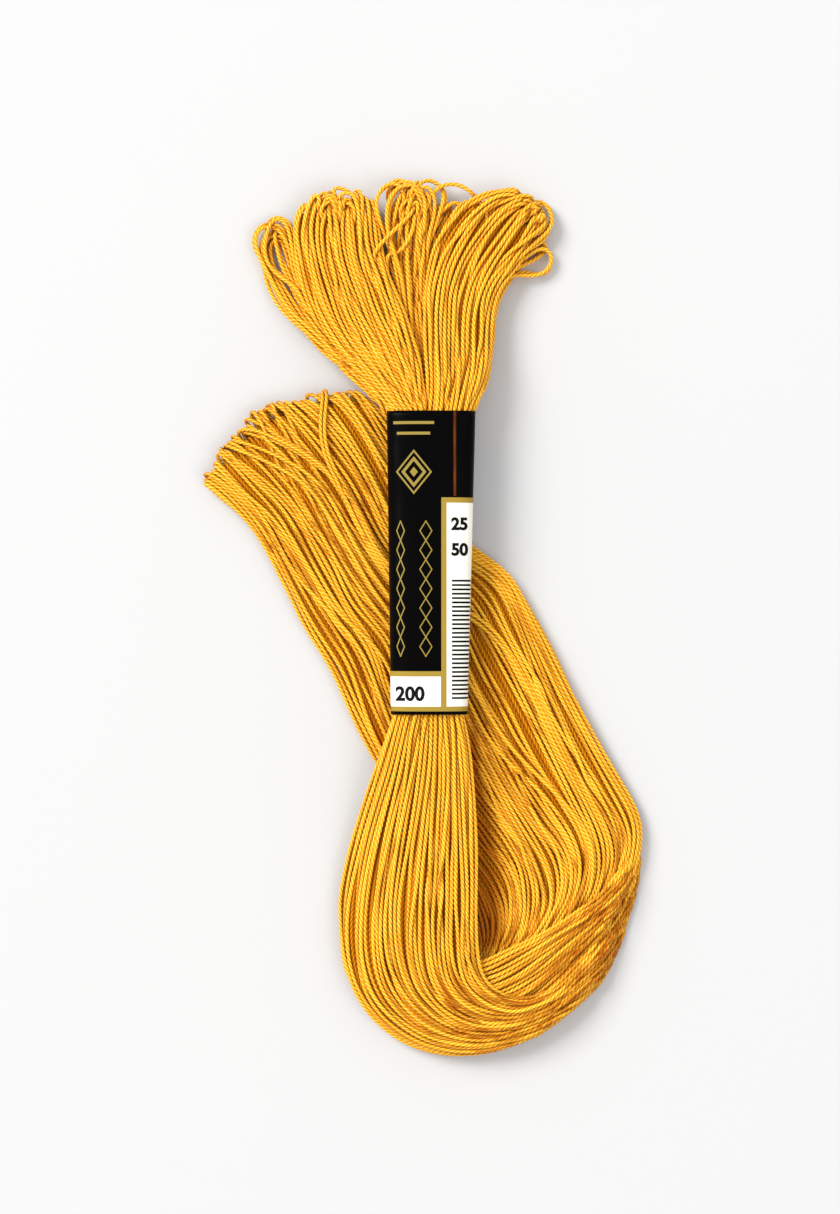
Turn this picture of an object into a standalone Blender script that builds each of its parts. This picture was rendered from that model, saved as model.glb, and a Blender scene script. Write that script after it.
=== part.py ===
"""Skein of embroidery thread, folded once and held by a paper sleeve.

The hank is one solid made of lofted locks of thread: an outer and an inner lock that leave the sleeve,
lie over the folded column and turn back round the lower bend, the column itself with its wide upper end,
and the clumps of loops that fan out above the sleeve. The sleeve is a flattened tube of paper round the
neck where all locks pass. Millimetre tables give the two edges of each lock, row by row along the thread.
"""
import math

import bmesh
import bpy
import numpy as np

MM = 0.001
SLEEVE_TOP = 42.9
SLEEVE_BOTTOM = -20.1
SLEEVE_WALL = 0.45
SLEEVE_CLEARANCE = 0.32
SLEEVE_END_TOP = (2.0, 8.95, 9.25, 3.7)
SLEEVE_END_BOTTOM = (1.6, 8.75, 8.0, 4.4)
SLEEVE_POWER = 3.0
NECK_TOP = 43.4
NECK_BOTTOM = -19.6
EDGE_POWER = 4.0
RIDGE_HEIGHT = 0.28
THREAD_COLOR = (0.78, 0.42, 0.06, 1.0)
SLEEVE_COLOR = (0.03, 0.028, 0.027, 1.0)

# Rows run along the thread. Each row: outer edge x, y, z, inner edge x, y, z, rise above the chord,
# depth below the chord, bow of the row along the thread.
OUTER_LOCK = (
    (-5.0, -17.6, 8.9, 8.2, -17.6, 8.9, 2.7, 1.6, 0),
    (-5.2, -19.8, 8.8, 8.4, -19.8, 8.8, 2.9, 1.8, 0),
    (-6.6, -21.9, 8.4, 9.6, -21.9, 8.6, 3.4, 2.0, 0),
    (-9.3, -29.9, 6.2, 10.8, -29.9, 8.2, 3.5, 2.4, 0),
    (-13.5, -42.5, 3.4, 11.9, -42.1, 7.2, 3.6, 2.4, 0),
    (-16.9, -55.1, 2.2, 12.5, -53.4, 6.6, 3.9, 2.4, 0),
    (-18.0, -64.6, 1.8, 12.5, -62.5, 6.2, 4.0, 2.4, 0),
    (-17.3, -73.6, 1.6, 12.5, -68.8, 5.8, 4.0, 2.6, 0),
    (-14.8, -80.3, 1.6, 12.9, -73.2, 5.6, 3.9, 2.8, 0),
    (-9.6, -86.2, 1.6, 14.2, -76.1, 5.2, 3.8, 3.0, 0),
    (-2.4, -90.6, 1.6, 16.5, -78.2, 4.8, 3.7, 3.2, 0),
    (6.0, -92.5, 1.6, 19.6, -79.5, 4.4, 3.6, 3.4, 0),
    (14.4, -91.7, 1.6, 23.2, -79.7, 4.0, 3.6, 3.4, 0),
    (21.1, -89.6, 1.6, 26.6, -78.4, 3.6, 3.6, 3.4, 0),
    (27.4, -86.2, 1.6, 29.7, -75.9, 3.2, 3.5, 3.2, 0),
    (32.7, -82.0, 1.6, 32.4, -72.6, 2.9, 3.4, 3.0, 0),
    (36.9, -77.6, 1.6, 35.0, -69.0, 2.7, 3.2, 3.0, 0),
    (39.8, -72.1, 1.6, 37.1, -65.2, 2.5, 3.0, 3.0, 0),
    (41.7, -66.5, 1.6, 38.3, -61.0, 2.3, 2.7, 2.8, 0),
    (43.2, -60.6, 1.5, 38.7, -56.8, 2.1, 2.2, 2.6, 0),
    (44.4, -55.1, 1.4, 38.7, -52.6, 1.8, 1.6, 2.4, 0),
    (45.3, -50.1, 1.3, 37.5, -47.8, 1.5, 1.0, 2.2, 0),
)
INNER_LOCK = (
    (-10.6, -77.2, 3.0, 9.3, -67.7, 5.0, 1.6, 2.4, 0),
    (-6.2, -82.8, 3.0, 10.2, -69.8, 4.8, 1.7, 2.6, 0),
    (0.7, -86.6, 2.8, 11.2, -71.3, 4.6, 1.9, 2.8, 0),
    (8.7, -87.5, 2.6, 12.5, -71.7, 4.5, 2.2, 3.0, 0),
    (16.9, -86.0, 2.4, 15.0, -70.5, 4.4, 2.4, 3.0, 0),
    (23.8, -82.8, 2.3, 18.6, -68.4, 4.3, 2.4, 3.0, 0),
    (29.1, -78.2, 2.3, 22.6, -66.5, 4.2, 2.3, 3.0, 0),
    (33.3, -73.0, 2.3, 26.8, -64.6, 4.1, 2.2, 3.0, 0),
    (36.9, -67.3, 2.3, 31.2, -62.3, 4.0, 2.1, 3.0, 0),
    (39.4, -62.5, 2.2, 35.4, -59.7, 3.8, 2.0, 3.0, 0),
    (41.5, -58.5, 2.1, 38.7, -57.2, 3.4, 1.7, 2.8, 0),
    (43.4, -54.9, 1.9, 41.5, -54.5, 3.0, 1.3, 2.4, 0),
    (44.8, -51.3, 1.6, 42.1, -50.9, 2.2, 0.8, 2.0, 0),
)
COLUMN = (
    (-45.9, 28.5, 1.6, -8.1, 46.1, 1.6, 0.8, 1.6, 10.0),
    (-45.3, 27.4, 1.7, -7.7, 45.5, 1.7, 3.0, 2.4, 8.6),
    (-43.8, 25.9, 1.8, -7.0, 44.2, 1.8, 4.2, 2.6, 6.6),
    (-40.8, 23.0, 1.6, -5.1, 40.6, 1.6, 4.0, 2.4, 3.2),
    (-35.4, 18.0, 1.4, -1.8, 33.7, 1.4, 3.4, 2.2, 1.2),
    (-29.3, 7.5, 1.3, 3.9, 22.2, 1.3, 3.0, 2.2, 0),
    (-24.5, -2.4, 1.3, 11.0, 15.0, 1.3, 2.8, 2.2, 0),
    (-19.0, -11.7, 1.3, 19.8, 9.6, 1.3, 2.8, 2.2, 0),
    (-15.9, -20.9, 1.3, 24.3, 2.0, 1.3, 2.8, 2.2, 0),
    (-11.2, -31.0, 1.3, 29.5, -7.9, 1.3, 2.8, 2.2, 0),
    (-4.1, -41.5, 1.3, 36.9, -23.4, 1.3, 2.8, 2.2, 0),
    (3.9, -50.9, 1.3, 42.5, -34.5, 1.3, 2.9, 2.2, 0),
    (9.1, -57.6, 1.3, 45.9, -40.8, 1.4, 3.0, 2.2, 0),
    (11.0, -62.5, 1.3, 46.9, -45.9, 1.4, 2.9, 2.2, 0),
    (11.7, -65.6, 1.3, 46.1, -49.7, 1.5, 2.7, 2.2, 0),
    (11.9, -67.7, 1.3, 44.4, -54.3, 1.5, 2.3, 2.2, 0),
    (12.1, -69.2, 1.2, 41.3, -59.3, 1.4, 2.0, 2.2, 0),
    (12.3, -70.5, 1.2, 35.8, -65.6, 1.3, 2.0, 2.2, 0),
    (12.3, -71.7, 1.2, 28.2, -72.3, 1.2, 2.2, 2.2, 0),
    (11.4, -73.0, 1.2, 19.2, -78.2, 1.2, 2.4, 2.2, 0),
)
RETURN_LOCK = (
    (12.6, -72.2, 1.2, 26.6, -72.9, 1.2, 2.0, 1.8, 0),
    (11.4, -73.2, 1.2, 19.0, -78.0, 1.2, 2.3, 2.2, 0),
    (9.8, -74.0, 1.2, 9.8, -82.0, 1.2, 2.6, 2.2, 0),
    (7.5, -74.0, 1.3, -0.3, -82.0, 1.2, 2.8, 2.2, 0),
    (6.0, -71.9, 1.6, -8.3, -77.2, 1.2, 2.8, 2.2, 0),
    (6.4, -66.7, 2.2, -12.5, -68.1, 1.3, 2.8, 2.2, 0),
    (7.7, -57.2, 3.2, -12.9, -57.2, 1.6, 2.6, 2.4, 0),
    (8.9, -44.6, 4.2, -10.6, -44.6, 2.6, 2.4, 2.4, 0),
    (9.3, -31.0, 5.4, -7.7, -31.0, 4.8, 2.0, 2.4, 0),
    (8.9, -22.4, 6.8, -6.2, -22.4, 6.8, 1.8, 1.6, 0),
    (8.5, -19.4, 7.4, -5.4, -19.4, 7.4, 1.6, 1.2, 0),
)
FAN_1 = (
    (-5.6, 41.0, 8.9, -3.3, 41.0, 9.2, 1.6, 1.6, 0),
    (-6.2, 43.4, 8.6, -3.3, 43.4, 9.1, 1.8, 1.8, 0),
    (-11.2, 48.6, 7.2, -4.7, 48.2, 8.4, 2.4, 2.6, 0),
    (-17.7, 54.7, 5.6, -8.3, 54.1, 7.6, 2.8, 3.4, 0),
    (-23.8, 61.4, 4.2, -13.5, 60.4, 6.6, 3.2, 4.0, 0),
    (-27.0, 69.8, 3.2, -15.9, 68.8, 5.4, 3.4, 4.0, 0),
    (-28.9, 78.2, 2.6, -17.5, 77.2, 4.2, 3.4, 4.0, 1.0),
    (-28.2, 84.9, 2.2, -19.2, 84.5, 3.2, 3.0, 3.6, 2.6),
    (-26.1, 87.3, 2.0, -20.5, 87.0, 2.4, 1.4, 2.4, 2.4),
)
FAN_2 = (
    (-3.9, 41.9, 9.2, -0.1, 41.9, 9.4, 1.8, 2.0, 0),
    (-4.1, 44.0, 9.0, -0.1, 44.0, 9.4, 2.2, 2.2, 0),
    (-6.6, 48.2, 8.4, -0.7, 48.2, 9.0, 2.6, 2.6, 0),
    (-10.0, 54.1, 7.4, -2.2, 54.1, 8.2, 3.0, 3.0, 0),
    (-14.6, 61.4, 6.2, -4.1, 61.4, 7.2, 3.4, 3.6, 0),
    (-17.1, 69.8, 4.8, -5.4, 69.8, 5.8, 3.6, 4.2, 0),
    (-18.6, 78.2, 3.6, -5.8, 78.2, 4.4, 3.6, 4.2, 0.6),
    (-18.4, 85.2, 2.6, -5.4, 85.2, 3.2, 3.4, 3.8, 2.4),
    (-16.3, 87.9, 2.0, -7.0, 88.3, 2.4, 1.4, 2.4, 2.6),
)
FAN_3 = (
    (-0.5, 41.9, 9.4, 3.7, 41.9, 9.4, 1.8, 2.0, 0),
    (-0.7, 44.0, 9.4, 3.7, 44.0, 9.4, 2.2, 2.4, 0),
    (-1.8, 48.2, 9.0, 3.9, 48.2, 9.0, 2.4, 2.6, 0),
    (-3.7, 54.1, 8.2, 3.9, 54.1, 8.2, 2.6, 3.0, 0),
    (-4.5, 61.4, 7.2, 3.9, 61.4, 7.2, 2.8, 3.4, 0),
    (-5.4, 68.8, 5.8, 3.9, 68.8, 5.8, 3.0, 4.0, 0),
    (-6.2, 77.2, 4.2, 3.9, 77.2, 4.2, 3.2, 4.0, 0.4),
    (-7.0, 85.2, 3.0, 3.5, 85.2, 3.0, 3.2, 3.6, 2.4),
    (-4.9, 88.9, 2.2, 1.8, 88.9, 2.2, 1.2, 2.4, 2.8),
)
FAN_4 = (
    (3.3, 41.9, 9.4, 7.0, 41.9, 9.2, 1.8, 2.0, 0),
    (3.3, 44.0, 9.4, 7.2, 44.0, 9.0, 2.2, 2.2, 0),
    (3.0, 48.2, 9.0, 8.7, 48.2, 8.4, 2.4, 2.6, 0),
    (2.6, 54.1, 8.0, 10.2, 54.1, 7.6, 2.8, 3.0, 0),
    (2.6, 61.4, 6.8, 10.6, 61.4, 6.4, 3.0, 3.6, 0),
    (2.6, 68.8, 5.4, 11.2, 69.4, 5.0, 3.2, 4.0, 0),
    (3.0, 77.2, 4.0, 12.7, 77.2, 3.8, 3.2, 4.0, 0.4),
    (4.1, 83.1, 2.8, 13.5, 83.9, 3.0, 3.0, 3.4, 1.6),
    (5.8, 86.0, 2.0, 11.9, 86.6, 2.2, 1.2, 2.2, 2.0),
)
FAN_5 = (
    (6.6, 41.9, 9.2, 10.0, 41.9, 8.8, 1.6, 1.8, 0),
    (6.6, 44.0, 9.0, 10.8, 44.0, 8.4, 2.0, 2.2, 0),
    (7.5, 48.2, 8.4, 13.5, 48.2, 7.2, 2.4, 2.6, 0),
    (8.5, 54.1, 7.4, 15.2, 54.5, 5.8, 2.8, 3.2, 0),
    (9.1, 61.4, 6.2, 15.9, 62.1, 4.4, 3.2, 3.8, 0),
    (9.8, 68.4, 5.0, 16.9, 67.1, 3.4, 3.4, 4.0, 0),
    (10.6, 76.1, 4.0, 20.5, 73.0, 2.8, 3.4, 4.0, 0.4),
    (11.9, 82.4, 3.0, 23.6, 79.3, 2.4, 3.2, 3.6, 2.0),
    (14.2, 86.8, 2.2, 23.4, 84.7, 2.0, 1.4, 2.4, 3.4),
)
FAN_6 = (
    (11.0, 57.2, 4.6, 15.4, 58.3, 3.8, 1.6, 3.0, 0),
    (12.3, 64.2, 3.8, 16.5, 65.4, 3.0, 1.8, 3.2, 0),
    (14.8, 70.0, 3.0, 19.6, 69.6, 2.2, 1.8, 3.0, 0),
    (18.2, 75.9, 2.4, 24.9, 72.6, 1.8, 1.8, 2.6, 0.6),
    (20.9, 80.5, 2.0, 27.4, 77.0, 1.6, 1.6, 2.4, 1.4),
    (23.2, 83.7, 1.6, 27.2, 81.6, 1.4, 0.6, 1.8, 1.4),
)

LOCKS = (
    ("outer_lock", OUTER_LOCK, 40, 44, 6),
    ("inner_lock", INNER_LOCK, 26, 32, 4),
    ("column", COLUMN, 44, 48, 7),
    ("return_lock", RETURN_LOCK, 20, 24, 3),
    ("fan_1", FAN_1, 14, 18, 2),
    ("fan_2", FAN_2, 14, 18, 2),
    ("fan_3", FAN_3, 14, 18, 2),
    ("fan_4", FAN_4, 14, 18, 2),
    ("fan_5", FAN_5, 14, 18, 2),
    ("fan_6", FAN_6, 12, 14, 1),
)


def smooth_rows(rows, count):
    """Pass a smooth curve through the rows and sample it evenly by length along the thread."""
    table = np.array(rows, dtype=float)
    table = np.vstack([2 * table[0] - table[1], table, 2 * table[-1] - table[-2]])
    step = np.linspace(0.0, 1.0, 24, endpoint=False)[:, None]
    parts = []
    for a, b, c, d in zip(table[:-3], table[1:-2], table[2:-1], table[3:]):
        linear = (c - a) * step
        square = (2 * a - 5 * b + 4 * c - d) * step ** 2
        cube = (3 * b - a - 3 * c + d) * step ** 3
        parts.append(0.5 * (2 * b + linear + square + cube))
    parts.append(table[-2:-1])
    dense = np.vstack(parts)
    reach = np.abs(np.diff(dense[:, :6], axis=0)).max(axis=1)
    travel = np.concatenate([[0.0], np.cumsum(reach + 0.02)])
    wanted = np.linspace(0.0, travel[-1], count)
    return np.stack([np.interp(wanted, travel, column) for column in dense.T], axis=1)


def lock_sections(rows, count, around, ridges):
    """Closed section polygons of one lock: ridged top from edge to edge, smooth underside back."""
    table = smooth_rows(rows, count)
    outer = table[:, 0:3]
    inner = table[:, 3:6]
    middle = (outer + inner) / 2
    ahead = np.gradient(middle[:, :2], axis=0)
    ahead = ahead / np.linalg.norm(ahead, axis=1)[:, None]
    if rows[0][8] > rows[-1][8]:
        ahead = -ahead
    over = np.linspace(0.0, 1.0, around * 3 // 5)
    under = np.linspace(1.0, 0.0, around - len(over) + 2)[1:-1]
    sections = []
    for index in range(count):
        rise, depth, bow = table[index, 6:9]
        ring = []
        for share, side in [(a, 1) for a in over] + [(a, -1) for a in under]:
            round_edge = math.sqrt(max(0.0, 1 - abs(2 * share - 1) ** EDGE_POWER))
            point = outer[index] * (1 - share) + inner[index] * share
            point[:2] += ahead[index] * bow * 4 * share * (1 - share)
            if side > 0:
                wave = RIDGE_HEIGHT * (1 - math.cos(2 * math.pi * ridges * share)) - RIDGE_HEIGHT
                point[2] += (rise + wave * min(1.0, rise / 2)) * round_edge
            else:
                point[2] -= depth * round_edge
            ring.append(point)
        sections.append(ring)
    return np.array(sections)


def loft(name, sections, collection):
    """Skin a run of section polygons, close both ends and return the object."""
    mesh = bpy.data.meshes.new(name)
    shell = bmesh.new()
    rings = [[shell.verts.new(tuple(point * MM)) for point in ring] for ring in sections]
    size = len(rings[0])
    for low, high in zip(rings[:-1], rings[1:]):
        for k in range(size):
            shell.faces.new((low[k], low[(k + 1) % size], high[(k + 1) % size], high[k]))
    shell.faces.new(rings[0][::-1])
    shell.faces.new(rings[-1])
    bmesh.ops.triangulate(shell, faces=shell.faces[:])
    bmesh.ops.recalc_face_normals(shell, faces=shell.faces[:])
    shell.to_mesh(mesh)
    shell.free()
    made = bpy.data.objects.new(name, mesh)
    collection.objects.link(made)
    return made


def flat_tube_sections(levels, shrink, around=48):
    """Superellipse sections across y, blended between the two ends of the sleeve."""
    sections = []
    for level in levels:
        share = (level - SLEEVE_BOTTOM) / (SLEEVE_TOP - SLEEVE_BOTTOM)
        ends = zip(SLEEVE_END_BOTTOM, SLEEVE_END_TOP)
        cx, cz, half_x, half_z = [low * (1 - share) + high * share for low, high in ends]
        ring = []
        for angle in np.linspace(0.0, 2 * math.pi, around, endpoint=False):
            c = math.cos(angle)
            s = math.sin(angle)
            across = math.copysign(abs(c) ** (2 / SLEEVE_POWER), c) * (half_x - shrink)
            up = math.copysign(abs(s) ** (2 / SLEEVE_POWER), s) * (half_z - shrink)
            ring.append(np.array([cx + across, level, cz + up]))
        sections.append(ring)
    return np.array(sections)


def combine(target, other, operation):
    """Apply one exact Boolean to the target."""
    modifier = target.modifiers.new(operation.title(), "BOOLEAN")
    modifier.operation = operation
    modifier.solver = "EXACT"
    modifier.object = other
    bpy.context.view_layer.objects.active = target
    bpy.ops.object.modifier_apply(modifier=modifier.name)


def finish(target, name, color, roughness, angle):
    """Clean the mesh, shade it and give it its own material."""
    mesh = target.data
    shell = bmesh.new()
    shell.from_mesh(mesh)
    bmesh.ops.remove_doubles(shell, verts=shell.verts[:], dist=0.00002)
    bmesh.ops.dissolve_degenerate(shell, edges=shell.edges[:], dist=0.00002)
    bmesh.ops.triangulate(shell, faces=shell.faces[:])
    bmesh.ops.recalc_face_normals(shell, faces=shell.faces[:])
    shell.to_mesh(mesh)
    shell.free()
    target.name = name
    mesh.name = name
    mesh.shade_smooth()
    mesh.set_sharp_from_angle(angle=math.radians(angle))
    material = bpy.data.materials.new(name)
    material.use_nodes = True
    shader = material.node_tree.nodes["Principled BSDF"]
    shader.inputs["Base Color"].default_value = color
    shader.inputs["Roughness"].default_value = roughness
    mesh.materials.clear()
    mesh.materials.append(material)


for leftover in list(bpy.data.objects):
    bpy.data.objects.remove(leftover, do_unlink=True)

skein = bpy.data.collections.new("thread_skein")
cutters = bpy.data.collections.new("cutters")
bpy.context.scene.collection.children.link(skein)
bpy.context.scene.collection.children.link(cutters)

hank = loft("neck", flat_tube_sections((NECK_BOTTOM, -10, 10, 30, NECK_TOP), SLEEVE_WALL + SLEEVE_CLEARANCE), skein)
for lock_name, rows, count, around, ridges in LOCKS:
    lock = loft(lock_name, lock_sections(rows, count, around, ridges), cutters)
    combine(hank, lock, "UNION")
    bpy.data.objects.remove(lock, do_unlink=True)

bpy.ops.mesh.primitive_cube_add(size=1.0, location=(0.0, 0.0, -0.01), scale=(0.4, 0.4, 0.02))
table = bpy.context.object
table.name = "table_cutter"
for holder in list(table.users_collection):
    holder.objects.unlink(table)
cutters.objects.link(table)
combine(hank, table, "DIFFERENCE")
bpy.data.objects.remove(table, do_unlink=True)
finish(hank, "hank", THREAD_COLOR, 0.55, 50)

sleeve = loft("sleeve", flat_tube_sections((SLEEVE_BOTTOM, 0, 20, SLEEVE_TOP), 0.0), skein)
hollow = loft("hollow", flat_tube_sections((SLEEVE_BOTTOM - 1, 0, 20, SLEEVE_TOP + 1), SLEEVE_WALL), cutters)
combine(sleeve, hollow, "DIFFERENCE")
bpy.data.objects.remove(hollow, do_unlink=True)
finish(sleeve, "sleeve", SLEEVE_COLOR, 0.4, 40)
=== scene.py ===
"""Skein of embroidery thread, lying on a pale table and seen from straight above.

Every turn of thread is a strand of three plies that runs from the paper sleeve down the front leg,
round the bend, back under the column, over its wide upper end, down the column's top and under the
leg to the sleeve again. Above the sleeve the turns fan out and end in loops. The strands are laid by
tables of edge points in millimetres, then settled so that no two of them share the same room.
"""
import functools
import math

import bmesh
import bpy
import numpy as np
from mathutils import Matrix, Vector


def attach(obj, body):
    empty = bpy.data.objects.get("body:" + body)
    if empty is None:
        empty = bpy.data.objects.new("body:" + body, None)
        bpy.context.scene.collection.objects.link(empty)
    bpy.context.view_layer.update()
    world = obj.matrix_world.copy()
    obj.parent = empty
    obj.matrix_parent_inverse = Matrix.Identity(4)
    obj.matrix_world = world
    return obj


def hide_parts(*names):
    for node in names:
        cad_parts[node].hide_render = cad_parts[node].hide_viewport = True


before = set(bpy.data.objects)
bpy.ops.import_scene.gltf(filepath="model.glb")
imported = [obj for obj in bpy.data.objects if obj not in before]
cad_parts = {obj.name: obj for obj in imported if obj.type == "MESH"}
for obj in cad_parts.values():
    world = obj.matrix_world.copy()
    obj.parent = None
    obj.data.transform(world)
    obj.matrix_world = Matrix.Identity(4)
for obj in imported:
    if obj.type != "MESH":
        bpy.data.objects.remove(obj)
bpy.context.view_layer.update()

MM = 0.001
FLAT = (1, 1, 0)

# Thread, in millimetres.
THREAD_RADIUS = 0.46
PLY_DEPTH = 0.18
PLY_PITCH = 3.3
RING_STEP = PLY_PITCH / 6
LAY_STEP = 1.0
END_TAPER = 0.35
# Each strand's plies start this share of a sixth of a turn on from the last strand's.
STRAND_TURN = 0.37
# A line of the bake chart is 6.6 cells high, so that a strip stays free between the lines.
CHART_TURN = 6.6
TURNS = 48
ON_TOP = 32

# Settling: how near two points are searched, how far along one strand its own points are let be, and the
# shares of an overlap, of the way to the neighbours' mean and of the way home that a point moves in a round.
SETTLE_ROUNDS = 42
SETTLED_WIDTH = 2 * THREAD_RADIUS * 0.97
SEARCH_REACH = 1.7
SEARCH_EVERY = 4
OWN_POINTS = 4
PUSH_SHARE = 0.42
SMOOTH_SHARE = 0.25
HOME_SHARE = 0.03
PRESS_REACH = 1.5
PRESS_COUNT = 12

# Sleeve: the ends are the middle's x and z and the half sizes. Strands above the neck's underside and
# within its reach run inside the paper, and so do the fan's up to a little above the rim.
SLEEVE_TOP = 42.9
SLEEVE_BOTTOM = -20.1
SLEEVE_END_TOP = (2.0, 8.95, 9.25, 3.7)
SLEEVE_END_BOTTOM = (1.6, 8.75, 8.0, 4.4)
SLEEVE_POWER = 3.0
PAPER = 0.22
NECK_UNDERSIDE = 5.6
NECK_MIDDLE = 2.0
NECK_REACH = 11
RIM_MARGIN = 0.3
FAN_MARGIN = 1.3

PAPER_BLACK = "#030202"
PRINTED_GOLD = "#93803e"
FRONT_ABOVE = 7.0
# Colour, then left, right, low and high in mm along the paper, later panels over earlier ones.
PRINTED_PANELS = (
    (PRINTED_GOLD, -6.0, 2.6, 40.1, 40.7), (PRINTED_GOLD, -5.2, 1.8, 37.9, 38.5),
    ("#9c8236", 4.1, 12.9, -19.4, 24.9), ("#e9e7dc", 5.2, 12.2, -18.4, 23.8),
    ("#9c8236", -9.2, 4.1, -19.4, -11.1), ("#ebebeb", -8.5, 4.0, -18.4, -12.2),
)

# Rows run along the thread. Each row: outer edge x, y, z, inner edge x, y, z, rise of the top strands
# above the chord, depth of the lowest ones below it, bow of the row along the thread.
STEPS_PER_ROW = 24
EDGE_POWER = 4.0
FRONT_LEG = (
    (-5, -14, 8.9, 8.2, -14, 8.9, 2.9, 1.6, 0),
    (-5.4, -19.8, 8.8, 8.6, -19.8, 8.8, 3.1, 1.8, 0),
    (-6.8, -21.9, 8.4, 9.6, -21.9, 8.6, 3.4, 2, 0),
    (-9.3, -29.9, 6.2, 10.8, -29.9, 8.2, 3.5, 2.4, 0),
    (-13.5, -42.5, 3.4, 11.9, -42.1, 7.2, 3.6, 2.4, 0),
    (-16.9, -55.1, 2.2, 12.5, -53.4, 6.6, 3.9, 2.4, 0),
    (-18, -64.6, 1.8, 12.5, -62.5, 6.2, 4, 2.4, 0),
    (-17.3, -73.6, 1.6, 12.5, -68.8, 5.8, 4, 2.6, 0),
    (-14.8, -80.3, 1.6, 12.9, -73.2, 5.6, 3.9, 2.8, 0),
    (-9.6, -86.2, 1.6, 14.2, -76.1, 5.2, 3.8, 3, 0),
    (-2.4, -90.6, 1.6, 16.5, -78.2, 4.8, 3.7, 3.2, 0),
    (6, -92.5, 1.6, 19.6, -79.5, 4.4, 3.6, 3.4, 0),
    (14.4, -91.7, 1.6, 23.2, -79.7, 4, 3.6, 3.4, 0),
    (21.1, -89.6, 1.6, 26.6, -78.4, 3.6, 3.6, 3.4, 0),
    (27.4, -86.2, 1.6, 29.7, -75.9, 3.2, 3.5, 3.2, 0),
    (32.7, -82, 1.6, 32.4, -72.6, 2.8, 3.2, 3, 0),
    (36.9, -77.6, 1.6, 35, -69, 2.4, 2.9, 3, 0),
    (39.8, -72.1, 1.6, 37.1, -65.2, 2.1, 2.5, 3, 0),
    (41.7, -66.5, 1.6, 38.3, -61, 1.9, 2.2, 2.8, 0),
    (43.2, -60.6, 1.5, 38.7, -56.8, 1.8, 1.8, 2.6, 0),
    (44.4, -55.1, 1.4, 38.7, -52.6, 1.8, 1.6, 2.4, 0),
    (45.3, -50.1, 1.3, 37.5, -47.8, 1.5, 1, 2.2, 0),
)
INNER_BEND = (
    (-10.6, -77.2, 3, 9.3, -67.7, 5, 1.6, 2.4, 0),
    (-6.2, -82.8, 3, 10.2, -69.8, 4.8, 1.7, 2.6, 0),
    (0.7, -86.6, 2.8, 11.2, -71.3, 4.6, 1.9, 2.8, 0),
    (8.7, -87.5, 2.6, 12.5, -71.7, 4.5, 2.2, 3, 0),
    (16.9, -86, 2.4, 15, -70.5, 4.4, 2.4, 3, 0),
    (23.8, -82.8, 2.3, 18.6, -68.4, 4.3, 2.4, 3, 0),
    (29.1, -78.2, 2.3, 22.6, -66.5, 4.2, 2.3, 3, 0),
    (33.3, -73, 2.7, 26.8, -64.6, 4.2, 2.2, 3, 0),
    (37.4, -68.8, 3, 31.2, -62.3, 4.2, 2.1, 3, 0),
    (40.5, -64.2, 3, 35, -59.7, 4.1, 2, 3, 0),
    (42.6, -59.9, 2.8, 38.3, -57.2, 3.8, 1.8, 2.8, 0),
    (44.1, -55.5, 2.3, 40.9, -54.1, 3.2, 1.4, 2.4, 0),
    (45.1, -51.3, 1.7, 42, -50.6, 2.3, 0.9, 2, 0),
)
COLUMN = (
    (-45.3, 27.4, 1.9, -7.7, 45.5, 1.9, 3, 1.3, 8.4),
    (-43.8, 25.9, 1.9, -7, 44.2, 1.9, 3.6, 1.4, 6.6),
    (-40.8, 23, 1.7, -5.1, 40.6, 1.7, 3.6, 1.3, 3.2),
    (-35.4, 18, 1.5, -1.8, 33.7, 1.5, 3.3, 1.3, 1.2),
    (-29.3, 7.5, 1.4, 3.9, 22.2, 1.4, 3, 1.3, 0),
    (-24.5, -2.4, 1.4, 11, 15, 1.4, 2.8, 1.3, 0),
    (-19, -11.7, 1.4, 19.8, 9.6, 1.4, 2.8, 1.3, 0),
    (-15.9, -20.9, 1.4, 24.3, 2, 1.4, 2.8, 1.3, 0),
    (-11.2, -31, 1.4, 29.5, -7.9, 1.4, 2.8, 1.3, 0),
    (-4.1, -41.5, 1.4, 36.9, -23.4, 1.4, 2.8, 1.3, 0),
    (3.9, -50.9, 1.4, 42.5, -34.5, 1.4, 2.9, 1.3, 0),
    (9.1, -57.6, 1.4, 45.9, -40.8, 1.4, 3, 1.3, 0),
    (11, -62.5, 1.4, 46.9, -45.9, 1.5, 2.9, 1.3, 0),
    (11.7, -65.6, 1.4, 46.1, -49.7, 1.6, 2.7, 1.3, 0),
    (11.9, -67.7, 1.4, 44.4, -54.3, 1.6, 2.3, 1.3, 0),
    (12.1, -69.2, 1.3, 41.3, -59.3, 1.5, 2, 1.2, 0),
    (12.3, -70.5, 1.3, 35.8, -65.6, 1.4, 2, 1.2, 0),
    (12.3, -71.7, 1.3, 28.2, -72.3, 1.3, 2.2, 1.2, 0),
    (11.4, -73, 1.3, 19.2, -78.2, 1.3, 2.4, 1.2, 0),
    (9.8, -74, 1.3, 9.8, -82, 1.3, 2.6, 1.2, 0),
    (7.5, -74, 1.4, -0.3, -82, 1.3, 2.8, 1.2, 0),
    (6, -71.9, 1.7, -8.3, -77.2, 1.3, 2.8, 1.2, 0),
    (6.4, -66.7, 2.3, -12.5, -68.1, 1.4, 2.8, 1.3, 0),
    (7.7, -57.2, 3.2, -12.9, -57.2, 1.7, 2.6, 1.3, 0),
    (8.9, -44.6, 4.3, -10.6, -44.6, 2.7, 2.4, 1.4, 0),
    (9.3, -31, 5.6, -7.7, -31, 5, 2, 1.6, 0),
    (8.9, -22.4, 6.9, -6.2, -22.4, 6.9, 1.8, 1.6, 0),
    (8.2, -19.4, 7.4, -5, -19.4, 7.4, 1.6, 1.8, 0),
    (8, -14, 7.4, -4.8, -14, 7.4, 1.6, 1.8, 0),
)
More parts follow.
